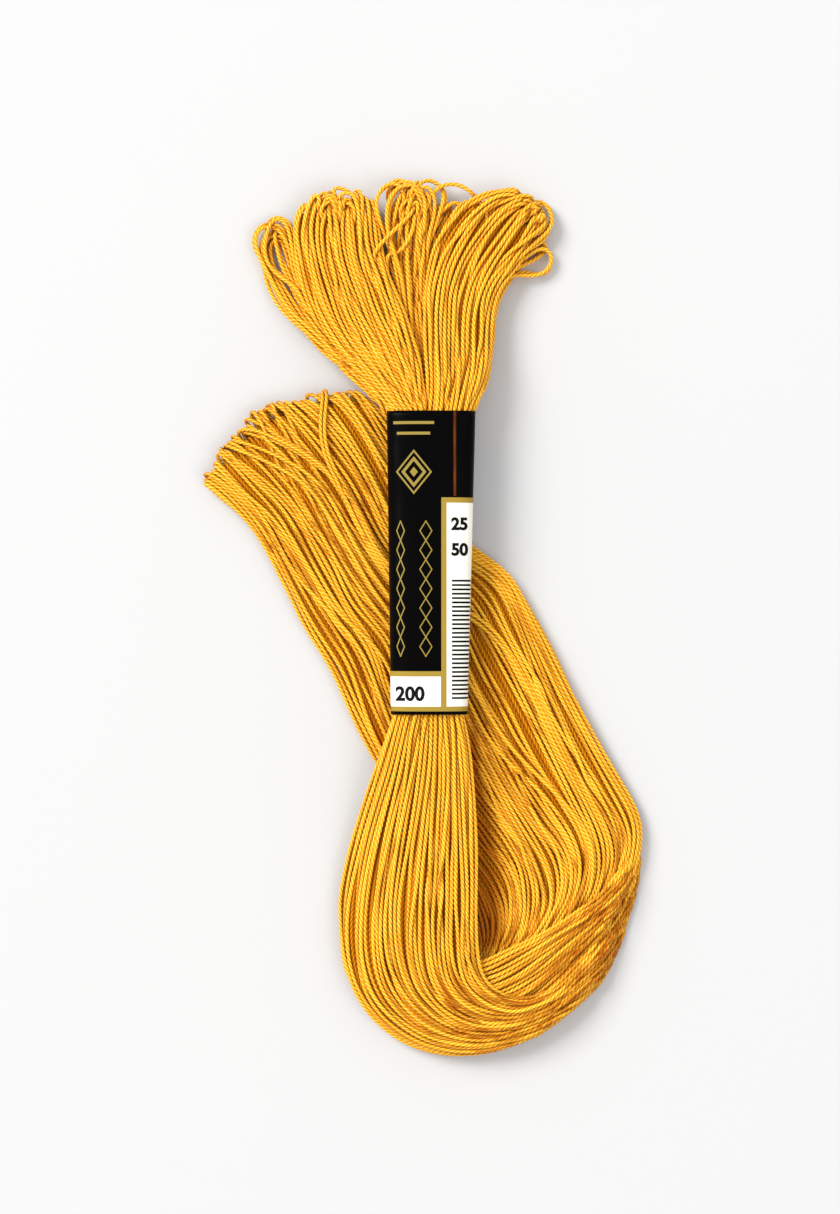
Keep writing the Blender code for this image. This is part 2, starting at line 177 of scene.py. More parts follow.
# Strands that cross their neighbours on the column: strand, first row, rows to come across, shift, rise in
# layers.
CROSSINGS = (
    (9, -0.2, 3, -0.21, 0.5), (10, -0.2, 3.1, -0.21, 0.5), (27, 0.3, 2.8, 0.16, 0.35),
    (29, 0.2, 2.9, 0.18, 0.4), (31, 0.1, 3, 0.19, 0.4), (33, 0.3, 2.9, 0.17, 0.4),
    (35, 0.2, 3, 0.14, 0.35), (18, 0.4, 2.8, -0.12, -0.3), (20, 0.3, 2.9, -0.15, -0.3),
    (22, 0.4, 2.8, -0.14, -0.3), (24, 0.3, 2.9, -0.15, -0.3), (26, 0.2, 3, -0.13, -0.3),
    (17, 5, 2, -0.10, 0.45), (23, 5.6, 1.9, 0.08, 0.45), (14, 5, 2.1, -0.09, 0.45),
    (39, 4.2, 2.4, 0.08, 0.45), (43, 3.6, 2.4, 0.08, 0.45),
)
# Row and rows over which the leg and the bend go round their outer edge, row where the lower strands leave
# the leg, and rows of the column where the strands come in and where they dive under the leg.
LEG_GOES_ROUND = (13.2, 5.6)
BEND_GOES_ROUND = (8.5, 3.8)
LEG_PARTS_ROW = 8.0
COLUMN_ENTRY_ROW = 12.5
COLUMN_PIVOT_ROW = 18
FAN_LEFT = (
    (-6.6, 39.4, 8.9, 1.5, 39.4, 9.2, 2.6, 2.2, 0),
    (-6.8, 43.2, 8.9, 1.3, 43.2, 9.3, 2.7, 2.4, 0),
    (-7.7, 45.3, 8.5, 1, 45.3, 9.2, 2.8, 2.5, 0),
    (-11.7, 49.2, 7.2, 0.5, 49.2, 8.6, 3, 2.7, 0),
    (-17.7, 54.9, 5.6, -0.3, 54.9, 7.8, 3.2, 3.2, 0),
    (-23, 62.1, 4.2, -2.4, 62.1, 6.8, 3.4, 3.4, 0),
    (-25.5, 69.2, 3.3, -4.9, 68.8, 5.6, 3.4, 3, 0),
    (-27.4, 77.2, 2.8, -7.6, 76.1, 4.6, 3.2, 2.6, 0.4),
    (-28, 82.6, 2.4, -8, 82.6, 3.8, 3, 2.2, 1.6),
    (-27, 86, 2.2, -8.2, 87.7, 3.1, 2.6, 1.9, 3),
)
FAN_MIDDLE = (
    (-0.7, 39.4, 8.2, 3.5, 39.4, 8.2, 1.4, 3, 0),
    (-0.7, 43.2, 8, 3.5, 43.2, 8, 1.4, 3, 0),
    (-1.2, 49.2, 6.4, 2.9, 49.2, 6.4, 1.4, 3, 0),
    (-2.4, 57.2, 4.6, 2.2, 57.2, 4.6, 1.4, 2.8, 0),
    (-4.5, 66, 3.8, 1.4, 66, 3.8, 1.6, 2.6, 0),
    (-7.2, 75.1, 3.4, 2.2, 74.7, 3.4, 2, 2.4, 0),
    (-8, 83.5, 3, 4, 83.1, 3, 2.3, 2, 0.5),
    (-7.4, 88.9, 2.6, 4.8, 89.4, 2.6, 2.4, 1.8, 2),
)
FAN_RIGHT = (
    (1.3, 39.4, 9.2, 10.2, 39.4, 8.9, 2.6, 2.2, 0),
    (1.2, 43.2, 9.2, 10.8, 43.2, 8.9, 2.7, 2.4, 0),
    (1, 45.3, 9, 11.9, 45.3, 8.4, 2.8, 2.5, 0),
    (0.8, 49.2, 8.4, 13.8, 49.2, 7, 3, 2.7, 0),
    (0.1, 56.2, 7.4, 15, 55.8, 5.4, 3.2, 3.2, 0),
    (0, 65.6, 5.8, 15.6, 64.2, 3.8, 3.4, 3.2, 0),
    (0.9, 73.8, 4.6, 17.7, 70, 3, 3.4, 2.8, 0),
    (3.6, 81, 3.8, 21.3, 74.2, 2.4, 3.2, 2.4, 0.6),
    (7.9, 86.4, 3.2, 24, 79.1, 2.2, 3, 2, 2),
    (11.7, 88.9, 2.9, 25.1, 82.4, 2.2, 2.7, 1.9, 2.6),
    (15.4, 89.9, 2.8, 26, 84.2, 2.2, 2.5, 1.8, 1.6),
    (18.4, 89.6, 2.6, 26.2, 85.6, 2.2, 2.3, 1.7, 1),
)
# Each sheet of the fan: loops, shares across it and the steps aside there, longest turn over, how much the
# strands stray, and by how many rows a loop may end early.
FAN_SHEETS = (
    (FAN_LEFT, 25, (0, 0.38, 0.5, 1), (0.17, 0.15, -0.13, -0.2), 2.4, 1, 0.7),
    (FAN_MIDDLE, 11, (0, 1), (0.6, -0.5), 2.6, 3, 0.7),
    (FAN_RIGHT, 18, (0, 1), (0.22, 0.1), 2, 1.2, 1.9),
)
# Stray loops: x, y, z of one point after another.
LOOSE_LOOPS = (
    (-21.7, 58.6, 6.6, -23.3, 60.5, 6, -28.5, 65.1, 4.6, -32.7, 73.6, 3.4, -35.3, 78.3, 2.6, -35.2, 81.5, 2.2,
     -32.7, 83, 2.2, -29.4, 82, 2.6, -27.6, 77.3, 2.8, -26.2, 69.8, 3.2, -24, 63.3, 4.4, -21.5, 58.6, 6.2),
    (-21, 57.2, 6.6, -23.8, 60, 5.6, -27.1, 62.8, 4.4, -30.8, 68.4, 3, -33.2, 75, 2, -34.2, 77.8, 1.6,
     -33.2, 80.1, 1.4, -30.4, 81.3, 1.4, -28, 79.7, 1.8, -26.9, 73.6, 2.2, -25.2, 66.1, 3.2, -21.9, 59.5, 5),
    (-21.5, 59, 6, -24.7, 63.3, 4.2, -29.4, 69.8, 2.8, -31.8, 75.4, 1.8, -32.5, 78.7, 1.4, -30.8, 80.6, 1.2,
     -28.7, 79.7, 1.4, -27.6, 75, 1.8, -25.9, 67.9, 2.6, -22.4, 61.4, 4.4),
    (-24.7, 65.6, 5.6, -26.2, 69.4, 4.6, -29.4, 71.2, 3.8, -32.7, 74, 3.2, -33.7, 77.3, 2.8, -32.5, 81.1, 2.4,
     -32.2, 83.7, 2.2, -30.1, 84.8, 2.2, -28.3, 83.4, 2.6, -27.3, 79.2, 3.6, -26.2, 71.7, 4.6),
    (-23.3, 63.3, 4.6, -26.2, 67.9, 3.6, -29.2, 73.6, 2.8, -30.6, 78.3, 2.2, -31.1, 81.1, 1.8,
     -30.1, 82.7, 1.6, -28.3, 82.5, 1.8, -27.1, 78.3, 2.4, -25.7, 71.7, 3.4, -23.3, 65.1, 4.6),
    (-19.6, 55.8, 6.6, -22.9, 59.5, 5, -27.6, 63.7, 3.4, -31.8, 70.8, 2.2, -33.7, 75.9, 1.4, -33.4, 79.7, 1,
     -30.8, 82, 1, -28.5, 82, 1.2, -27.3, 76.4, 1.6, -25.7, 68.4, 2.6, -22.9, 61.4, 4.2),
    (12.3, 60.5, 4.6, 15.6, 67.9, 4, 17, 71.7, 4.4, 20.7, 75.9, 4.2, 25.4, 79.9, 3.4, 27.8, 82, 2.8,
     28, 83.9, 2.4, 27.1, 86.7, 2.2, 25.4, 87.9, 2.2, 23.1, 87.3, 2.6, 19.3, 83.9, 3.8, 14.6, 77.8, 5,
     10.9, 69.8, 6),
    (10.4, 63.3, 5.6, 13.7, 69.8, 5.2, 17.9, 75.4, 5.2, 22.1, 79.7, 4.6, 24.9, 81.3, 4, 26.1, 83, 3.4,
     25.9, 84.8, 3, 24.5, 85.4, 3, 22.4, 84.4, 3.6, 18.8, 80.6, 4.8, 14.2, 74, 5.8, 10.9, 66.1, 6.4),
    (14.6, 63.3, 3.4, 16, 69.4, 3.2, 18.4, 72.4, 2.8, 21.2, 72.1, 2.4, 24.5, 71.6, 2, 27.1, 73, 1.6,
     28.1, 75.9, 1.6, 27.1, 78, 2, 24.9, 78.3, 2.6, 20.7, 75.4, 3.8, 15.6, 70.8, 4.6, 12.3, 64.2, 5),
    (9.5, 62.3, 4.8, 13.2, 67.9, 4.6, 18.4, 74, 4, 23.1, 77.8, 3.2, 26.6, 80.1, 2.4, 27.3, 82, 1.8,
     25.4, 83.8, 1.6, 23.1, 82, 2.2, 18.8, 77.3, 3.4, 14.2, 71.7, 4.6, 10.9, 66.1, 5.2),
    (13.7, 64.2, 3, 16.5, 70.8, 2.4, 19.8, 73.6, 1.8, 24, 75.4, 1.4, 26.8, 77.3, 1, 26.6, 79.7, 0.8,
     24, 80.1, 0.9, 20.7, 77.3, 1.6, 16.5, 72.6, 2.6, 13.2, 66.1, 3.6),
    (-0.4, 76.4, 5.6, -0.4, 82, 5.4, 1, 87.2, 4.6, 3.4, 90.8, 4, 6.7, 91.5, 3.8, 9.6, 90.4, 4,
     11.8, 88.1, 4.4, 13.7, 85.3, 5.2, 14.6, 80.6, 5.6),
    (-2.7, 69.8, 5.4, -3.2, 76.4, 5, -5.3, 83, 4.4, -7.2, 87.6, 3.6, -6.7, 90.5, 3, -4.6, 91.9, 2.8,
     -1.8, 92, 3, -0.4, 90, 3.8, 0.1, 84.8, 5, -0.4, 77.3, 5.8),
    (-0.4, 69.8, 5.6, 0.1, 78.3, 5.4, -0.4, 84.8, 4.8, -1.3, 89, 4.2, -0.8, 91.9, 3.6, 1.5, 92.6, 3.2,
     3.6, 91.8, 3, 5.3, 89.5, 3, 5, 87.2, 3.4, 3.4, 83.9, 4.2, 1, 78.3, 5.2),
    (-4.6, 71.7, 4.6, -5.5, 78.3, 4.2, -6.5, 83.9, 3.6, -5.8, 87.6, 3, -3.2, 89, 2.8, -0.8, 87.6, 3.2,
     -0.4, 83, 4.2, -0.8, 76.4, 5),
    (-7.4, 71.7, 5, -10.2, 75.9, 6.2, -7.9, 78.7, 6.8, -4.6, 82, 6.8, -2.7, 83.5, 6.2, -1.3, 86.7, 5,
     -2.2, 89, 4),
    (-6.5, 67.9, 4.6, -7.4, 72.6, 5.2, -7.2, 77.3, 6.2, -5.1, 75.4, 6.8, -2.7, 78.7, 6.8, -1.3, 82.5, 6,
     -0.8, 86.7, 4.8),
    (2, 73.6, 4.2, 2, 80.1, 3.8, 3.8, 84.8, 3.4, 6.2, 87.6, 3, 8.1, 88.1, 2.8, 8.5, 86.2, 2.8, 6.7, 82.5, 3.4,
     4.3, 77.8, 4.2),
    (1, 74.5, 3.6, 1, 80.6, 3.2, 2, 84.4, 2.8, 3.8, 87.2, 2.4, 6, 87.6, 2.2, 6, 85.3, 2.4, 3.4, 81.1, 3.2,
     2, 75.9, 3.8),
    (-3.6, 66, 6.4, -4.4, 72.6, 6.8, -6.9, 79.5, 6.6, -7.4, 85.5, 5.8, -6, 89.6, 5, -3.2, 91.2, 4.6,
     -0.4, 89.9, 4.8, 0.6, 86.1, 5.2, 0, 80.4, 5.4, -1.4, 72, 5.6),
    (-2.4, 64, 6.6, -2.8, 71, 6.9, -3.1, 79, 6.5, -2.6, 86, 5.6, -0.8, 90.4, 4.6, 1.6, 91, 4.2, 3, 88.4, 4.2,
     2.4, 83.6, 4.8, 0.8, 76, 5.4),
    (-5.2, 73.5, 4.4, -7.6, 80, 4.8, -9.8, 84.6, 5.4, -9.4, 89.2, 5.2, -6.8, 91.6, 4.6, -4, 90.8, 4.4,
     -3.4, 86.9, 4.8, -4.6, 80.8, 5),
    (3.2, 71.5, 4.8, 4, 78.2, 5, 6.4, 83.6, 5, 9.2, 87.6, 4.6, 11.4, 87.9, 4.2, 11.2, 85.2, 4.2,
     8.2, 80.4, 4.6, 5.6, 74.6, 5),
    (2.6, 70, 3.8, 3, 77, 3.6, 4.8, 82, 3.2, 7.6, 86, 2.8, 9.4, 88.6, 2.6, 10.8, 87.6, 2.6, 9.4, 83.6, 3.2,
     6.4, 77.8, 4),
    (-20.1, 76.4, 4.6, -19.6, 83.9, 4.6, -17.7, 87.2, 4.8, -18.2, 89, 4.6, -19.7, 90, 4.2, -19.1, 90.8, 4,
     -16.8, 90.5, 4.2, -14, 89, 4.8, -12.1, 84.8, 5, -12.6, 77.3, 4.8),
)
# Loops that come again as a looser copy of themselves.
REPEATED_LOOPS = (0, 1, 2, 3, 4, 5, 6, 7, 8, 9, 10, 12, 13, 14, 17, 18, 19, 21, 22)
# Layer of the hidden runs that lead the stray loops into the sleeve.
TAIL_LAYER = -0.3
# Strands beneath: margin at the edges of a lock, depth below the top strands and least height, in mm.
UNDER_EDGE = 0.04
THREAD_DOWN = 1.05
UNDER_FLOOR = 0.25


def dense_rows(rows):
    """Curve through the rows, a cubic to a span: its slope at a row is half the step between the neighbours."""
    table = np.array(rows, dtype=float)
    table = np.vstack([2 * table[0] - table[1], table, 2 * table[-1] - table[-2]])
    step = np.linspace(0.0, 1.0, STEPS_PER_ROW, endpoint=False)[:, None]
    before, start, end, after = table[:-3, None], table[1:-2, None], table[2:-1, None], table[3:, None]
    cubic = 2 * start + (end - before) * step + (2 * before - 5 * start + 4 * end - after) * step ** 2
    cubic = cubic + (3 * start - before - 3 * end + after) * step ** 3
    return np.vstack([0.5 * cubic.reshape(-1, table.shape[1]), table[-2:-1]])


def unit(vectors):
    """Vectors divided by their lengths."""
    return vectors / np.linalg.norm(vectors, axis=-1)[..., None]


def stretches(path):
    """Length of each step of a path."""
    return np.linalg.norm(np.diff(path, axis=0), axis=1)


def travel_along(path):
    """Distance along a path at each of its points."""
    return np.append(0.0, np.cumsum(stretches(path)))


def place(rows, row, across, layer):
    """Point of a lock: the chord between the edges at a row, pushed ahead by bow x 4a(1-a) and up or down.

    Row counts the table's rows, across runs 0 to 1 from the outer edge, layer 1 is the top and -1 the bottom.
    The push up or down fades to the edges as the square root of 1 - |2a - 1| to the edge power.
    """
    dense = dense_rows(rows)
    at = np.clip(row, 0, len(rows) - 1) * STEPS_PER_ROW
    known = np.arange(len(dense))
    values = np.stack([np.interp(at, known, column) for column in dense.T], axis=-1)
    ahead = unit(np.gradient((dense[:, 0:2] + dense[:, 3:5]) / 2, axis=0))
    if rows[0][8] > rows[-1][8]:
        ahead = -ahead
    ahead = np.stack([np.interp(at, known, column) for column in ahead.T], axis=-1)
    outer, inner = values[..., 0:3], values[..., 3:6]
    rise, depth, bow = values[..., 6], values[..., 7], values[..., 8]
    inset = THREAD_RADIUS / np.linalg.norm(inner - outer, axis=-1)
    share = np.clip(inset + across * (1 - 2 * inset), 0, 1)
    point = outer * (1 - share[..., None]) + inner * share[..., None]
    point[..., :2] += ahead * (bow * 4 * share * (1 - share))[..., None]
    fade = np.sqrt(np.clip(1 - np.abs(2 * share - 1) ** EDGE_POWER, 0, 1))
    point[..., 2] += layer * (np.where(layer > 0, rise, depth) - THREAD_RADIUS) * fade
    return point


def row_at_travel(rows, first, last, spacing=1.6):
    """Row numbers between two rows, spaced evenly by the distance that the faster edge travels."""
    dense = dense_rows(rows)
    faster = np.maximum(stretches(dense[:, :3]), stretches(dense[:, 3:6]))
    travel = np.append(0.0, np.cumsum(faster + 1e-4))
    number = np.arange(len(dense)) / STEPS_PER_ROW
    low, high = np.interp([first, last], number, travel)
    count = max(3, int(abs(high - low) / spacing))
    return np.interp(np.linspace(low, high, count), travel, number)


def wander(rng, strands, samples, size, swing=4.0):
    """Slow sideways drift of each strand: three sines of random phase and strength along the strand."""
    along = np.linspace(0.0, 1.0, samples)[None, :]
    total = np.zeros((strands, samples))
    for octave in range(1, 4):
        strength = rng.normal(0.0, size / octave, (strands, 1))
        phase = rng.uniform(0.0, 2 * math.pi, (strands, 1))
        rate = rng.uniform(0.5, 1.2, (strands, 1)) * swing * octave
        total += strength * np.sin(rate * along * math.pi + phase)
    return total


def turn_over(front_end, back_start, ahead, reach, samples=7):
    """Half ellipse from the end of a front strand, out by the reach, to the start of its back strand."""
    angle = np.linspace(0.0, math.pi, samples + 2)[1:-1]
    centre = (front_end + back_start) / 2
    side = (front_end - back_start) / 2
    out = ahead[:, None, :] * reach[:, None, None] * np.sin(angle)[None, :, None]
    return centre[:, None] + side[:, None] * np.cos(angle)[None, :, None] + out


def resample(path, spacing):
    """Points evenly spaced along a path, after a light smoothing by the mean of each point's neighbours."""
    for _ in range(3):
        path = path.copy()
        path[1:-1] = 0.5 * path[1:-1] + 0.25 * (path[:-2] + path[2:])
    travel = travel_along(path)
    wanted = np.linspace(0.0, travel[-1], max(4, int(travel[-1] / spacing) + 1))
    return np.stack([np.interp(wanted, travel, column) for column in path.T], axis=1)


def ease(value, low, high):
    """0 below low, 1 above high, and 3t^2 - 2t^3 between them."""
    t = np.clip((value - low) / (high - low), 0, 1)
    return t * t * (3 - 2 * t)


def round_the_edge(rows, first, span, across, layer):
    """Strands of a lock go round its outer edge one after another, the outermost first, and on underneath.

    By a row the share g = ((row - first) / span)^1.25 has gone. A strand at share a > g lies on top at
    (a - g) / (1 - g), and one at a < g lies beneath at 0.9 (g - a).
    """
    gone = np.clip((rows - first) / span, 0, 0.97)[None, :] ** 1.25
    turned = ease(gone - across, -0.04, 0.08)
    beneath = 0.9 * (gone - across)
    return np.where(across > gone, (across - gone) / (1 - gone), beneath), layer * (1 - turned) - turned


def long_turns(rng):
    """The 48 turns below the sleeve, each from the sleeve's foot all the way round and back to it.

    The first 32 lie on top of the front leg. The others lie under them and go off into the inner bend.
    """
    rank = np.arange(TURNS)
    leg_share = np.where(rank < ON_TOP, (rank + 0.5) / ON_TOP, (rank - ON_TOP + 0.5) / (TURNS - ON_TOP))
    leg_share = leg_share + rng.uniform(-0.4, 0.4, TURNS) / ON_TOP
    leg_layer = np.where(rank < ON_TOP, 1.0, 0.3)
    leg_rows = row_at_travel(FRONT_LEG, 0, 21)
    across = np.clip(leg_share[:, None] + wander(rng, TURNS, len(leg_rows), 0.014), 0, 1)
    layer = np.clip(leg_layer[:, None] + wander(rng, TURNS, len(leg_rows), 0.14), 0.0, 1.06)
    leg = place(FRONT_LEG, leg_rows, *round_the_edge(leg_rows, *LEG_GOES_ROUND, across, layer))
    before = leg_rows < LEG_PARTS_ROW
    bend_rows = row_at_travel(INNER_BEND, 1.0, 12)
    across = np.clip(leg_share[:, None] + wander(rng, TURNS, len(bend_rows), 0.018), 0, 1)
    layer = np.clip(1.0 + wander(rng, TURNS, len(bend_rows), 0.15), 0.3, 1.1)
    bend = place(INNER_BEND, bend_rows, *round_the_edge(bend_rows, *BEND_GOES_ROUND, across, layer))

    # Along the underside of the column to its turned-over end.
    calm = np.clip(np.minimum(rank, TURNS - 1 - rank) / 5, 0.2, 1)
    back_share = (TURNS - 0.5 - rank + calm * rng.uniform(-0.45, 0.45, TURNS)) / TURNS
    back_rows = row_at_travel(COLUMN, COLUMN_ENTRY_ROW, 0.0)
    spread = ease(COLUMN_ENTRY_ROW - back_rows, 0, 5)
    entry = np.where(rank < ON_TOP, 0.88 + 0.11 * leg_share, 0.86 + 0.08 * leg_share)
    under = entry[:, None] * (1 - spread) + back_share[:, None] * spread
    under = under + wander(rng, TURNS, len(back_rows), 0.008) - 0.075 * (1 - ease(back_rows, 0, 2.6))
    back = place(COLUMN, back_rows, 0.012 + 0.976 * np.clip(under, 0, 1), -1.0)

    # Down the column's top, in loose bundles that sway, and under the front leg.
    along = row_at_travel(COLUMN, 0.0, len(COLUMN) - 1.0)
    bundle = back_share[:, None]
    top = bundle + calm[:, None] * wander(rng, TURNS, len(along), 0.011, 9.0)
    top = top + 0.014 * np.sin(bundle * 17 + along * 0.9) + 0.010 * np.sin(bundle * 41 - along * 0.6)
    layer = np.clip(1.0 + wander(rng, TURNS, len(along), 0.13, 9.0), 0.4, 1.15)
    clump_middle = (TURNS - 2.5 - rank // 4 * 4)[:, None] / TURNS
    top += (0.45 * (clump_middle - bundle) - 0.02) * (1 - ease(along, 0, 2.4))
    for strand, start, length, shift, rise in CROSSINGS:
        part = ease(along, start, start + length) - ease(along, start + 1.6 * length, start + 2.6 * length)
        top[strand] += shift * part
        layer[strand] += rise * np.sin(math.pi * np.clip((along - start) / (2.6 * length), 0, 1))
    hidden = ease(along, COLUMN_PIVOT_ROW, COLUMN_PIVOT_ROW + 3)
    deep = np.array([1.0, 0.0, -1.0])[rank % 3][:, None]
    front = place(COLUMN, along, np.clip(top, 0, 1), layer * (1 - hidden) + deep * hidden)

    clump = rng.uniform(0.6, 3.0, TURNS)[rank // 4 * 4]
    ahead = unit((front[:, 0] - front[:, 3]) * FLAT)
    over = turn_over(back[:, -1], front[:, 0], ahead, clump + rng.uniform(0.0, 0.9, TURNS))
    paths = []
    for k in range(TURNS):
        first = [leg[k]] if k < ON_TOP else [leg[k][before], bend[k]]
        paths.append(np.vstack(first + [back[k], over[k], front[k]]))
    return paths


def fan_turns(rng):
    """Loops above the sleeve: up the front of a sheet, over its end with a step aside, and down its back.

    The step runs to the right where it is positive; the left sheet's strands part to both sides at its crown.
    Nearly half the loops come over their neighbours before they dive behind. The middle sheet strays most.
    """
    paths = []
    for rows, count, known, steps, longest, stray, early in FAN_SHEETS:
        last = len(rows) - 1.0
        share = (np.arange(count) + 0.5 + rng.uniform(-0.4, 0.4, count)) / count
        aside = np.interp(share, known, steps) + rng.uniform(-0.05, 0.07, count)
        travel = row_at_travel(rows, 0.0, last, 1.2)
        late = (travel / last) ** 7
        ends = last - rng.uniform(0.0, early, count)
        run = ends[:, None] * (travel / last)
        gather = np.round(share * count / 4) * 4 / count
        up_across = share[:, None] + wander(rng, count, len(travel), 0.016 * stray)
        up_across += 0.3 * aside[:, None] * late
        up_across += 0.35 * (gather - share)[:, None] * ease(travel / last, 0.35, 0.8)
        up_layer = np.clip(1.0 + wander(rng, count, len(travel), 0.2 * stray), 0.2, 1.1)
        up = place(rows, run, np.clip(up_across, 0, 1), up_layer)
        over_neighbours = rng.uniform(0, 1, count) < 0.45
        aside = aside * np.where(over_neighbours, rng.uniform(1.1, 1.9, count), 1.0)
        down_across = share[:, None] + wander(rng, count, len(travel), 0.03) + aside[:, None] * late ** 0.35
        down_layer = -1.0 + 2.15 * over_neighbours[:, None] * ease(travel / last, 0.80, 0.95)
        down = place(rows, run, np.clip(down_across, 0, 1), down_layer)[:, ::-1]
        ahead = unit((up[:, -1] - up[:, -4]) * FLAT)
        over = turn_over(up[:, -1], down[:, 0], ahead, rng.uniform(1.0, longest, count))
        paths.extend(np.vstack([up[k], over[k], down[k]]) for k in range(count))
    return paths


def tail_to(point):
    """Hidden run of a loose strand, from the sleeve through the sheet to just short of the place nearest it."""
    nearest = None
    for rows in (FAN_LEFT, FAN_MIDDLE, FAN_RIGHT):
        number = np.linspace(0.8, len(rows) - 1.0, 60)[:, None]
        across = np.linspace(0.03, 0.97, 25)
        spots = place(rows, number, across, TAIL_LAYER)
        distance = np.hypot(spots[..., 0] - point[0], spots[..., 1] - point[1])
        i, j = np.unravel_index(distance.argmin(), distance.shape)
        if nearest is None or distance[i, j] < nearest[0]:
            nearest = (distance[i, j], rows, number[i, 0], across[j])
    _, rows, row, across = nearest
    return place(rows, row_at_travel(rows, 0.0, max(row - 0.9, 0.6), 1.2), across, TAIL_LAYER)


def loose_turns(rng):
    """The stray loops: each list of points drawn as a smooth curve, both ends led down into the sleeve."""
    paths = []
    for loop, jitter in [(loop, 0.0) for loop in LOOSE_LOOPS] + [(LOOSE_LOOPS[k], 1.0) for k in REPEATED_LOOPS]:
        points = np.reshape(loop, (-1, 3))
        points = points + jitter * rng.normal(0.0, 0.75, points.shape) * (0.8, 0.8, 0.3)
        points[:, 2] = np.maximum(points[:, 2] - 0.7 * jitter, 0.6)
        shown = smooth_curve(points, np.arange(len(points)) * 1.0, np.linspace(0, len(points) - 1, 60))
        paths.append(np.vstack([tail_to(shown[0]), shown, tail_to(shown[-1])[::-1]]))
    return paths


def neighbours(points, reach):
    """Index pairs of points closer than the reach, found by sorting the points into cubes of that size."""
    cube = np.floor(points / reach).astype(np.int64)
    cube -= cube.min(axis=0) - 1
    size = cube.max(axis=0) + 2
    key = (cube[:, 0] * size[1] + cube[:, 1]) * size[2] + cube[:, 2]
    order = np.argsort(key, kind="stable")
    ordered = key[order]
    found = []
    steps = [(x, y, z) for x in (-1, 0, 1) for y in (-1, 0, 1) for z in (-1, 0, 1) if (x, y, z) >= (0, 0, 0)]
    for step in steps:
        other = key + (step[0] * size[1] + step[1]) * size[2] + step[2]
        low = np.searchsorted(ordered, other, "left")
        count = np.searchsorted(ordered, other, "right") - low
        first = np.repeat(np.arange(len(points)), count)
        offset = np.arange(count.sum()) - np.repeat(np.cumsum(count) - count, count)
        second = order[np.repeat(low, count) + offset]
        keep = first < second if step == (0, 0, 0) else np.ones(len(first), dtype=bool)
        first, second = first[keep], second[keep]
        near = ((points[first] - points[second]) ** 2).sum(axis=1) < reach * reach
        found.append(np.stack([first[near], second[near]]))
    return np.concatenate(found, axis=1)


def sleeve_room(y):
    """Centre x, centre z and half sizes of the sleeve's outside at a height y, blended between its two ends."""
    share = np.clip((y - SLEEVE_BOTTOM) / (SLEEVE_TOP - SLEEVE_BOTTOM), 0, 1)
    return [low * (1 - share) + high * share for low, high in zip(SLEEVE_END_BOTTOM, SLEEVE_END_TOP)]


def settle(paths, above_first):
    """Push strands apart to a thread's width and keep them smooth, near home, on the table and in the sleeve.

    Points nearer than a width each move by a share of the overlap, every point moves a quarter of the way to
    the mean of its two neighbours and a little way home, and none goes below the table or through the paper,
    from inside or from beneath. The strands from above_first on belong above the sleeve and stay in it.
    """
    sizes = [len(path) for path in paths]
    points = np.concatenate(paths)
    strand = np.repeat(np.arange(len(paths)), sizes)
    inner = np.nonzero(strand[:-2] == strand[2:])[0] + 1
    home = points.copy()
    x, y, z = home.T
    level = (y > SLEEVE_BOTTOM - RIM_MARGIN) & (y < SLEEVE_TOP + RIM_MARGIN)
    held = level & (z > NECK_UNDERSIDE) & (np.abs(x - NECK_MIDDLE) < NECK_REACH)
    held |= (strand >= above_first) & (y < SLEEVE_TOP + FAN_MARGIN)
    below_paper = level & ~held
    for number in range(SETTLE_ROUNDS):
        if number % SEARCH_EVERY == 0:
            first, second = neighbours(points, SEARCH_REACH)
            apart = (strand[first] != strand[second]) | (np.abs(first - second) > OWN_POINTS)
            first, second = first[apart], second[apart]
        gap = points[first] - points[second]
        distance = np.sqrt((gap ** 2).sum(axis=1)) + 1e-6
        overlap = np.clip(SETTLED_WIDTH - distance, 0, None)
        push = gap * (PUSH_SHARE * overlap / distance)[:, None]
        for axis in range(3):
            points[:, axis] += np.bincount(first, push[:, axis], len(points))
            points[:, axis] -= np.bincount(second, push[:, axis], len(points))
        mean = (points[inner - 1] + points[inner + 1]) / 2
        points[inner] += SMOOTH_SHARE * (mean - points[inner])
        points += HOME_SHARE * (home - points)
        points[:, 2] = np.maximum(points[:, 2], THREAD_RADIUS)
        cx, cz, half_x, half_z = sleeve_room(points[held, 1])
        across = (points[held, 0] - cx) / (half_x - PAPER - THREAD_RADIUS)
        up = (points[held, 2] - cz) / (half_z - PAPER - THREAD_RADIUS)
        size = (np.abs(across) ** SLEEVE_POWER + np.abs(up) ** SLEEVE_POWER) ** (1 / SLEEVE_POWER)
        size = np.maximum(1.0, size)
        points[held, 0] = cx + (points[held, 0] - cx) / size
        points[held, 2] = cz + (points[held, 2] - cz) / size
        cx, cz, half_x, half_z = sleeve_room(points[below_paper, 1])
        across = np.clip(np.abs(points[below_paper, 0] - cx) / (half_x + THREAD_RADIUS), 0, 1)
        ceiling = cz - (half_z + THREAD_RADIUS) * (1 - across ** SLEEVE_POWER) ** (1 / SLEEVE_POWER)
        low = points[below_paper, 2]
        points[below_paper, 2] = np.where(across < 1, np.minimum(low, ceiling), low)
    return np.split(points, np.cumsum(sizes)[:-1])


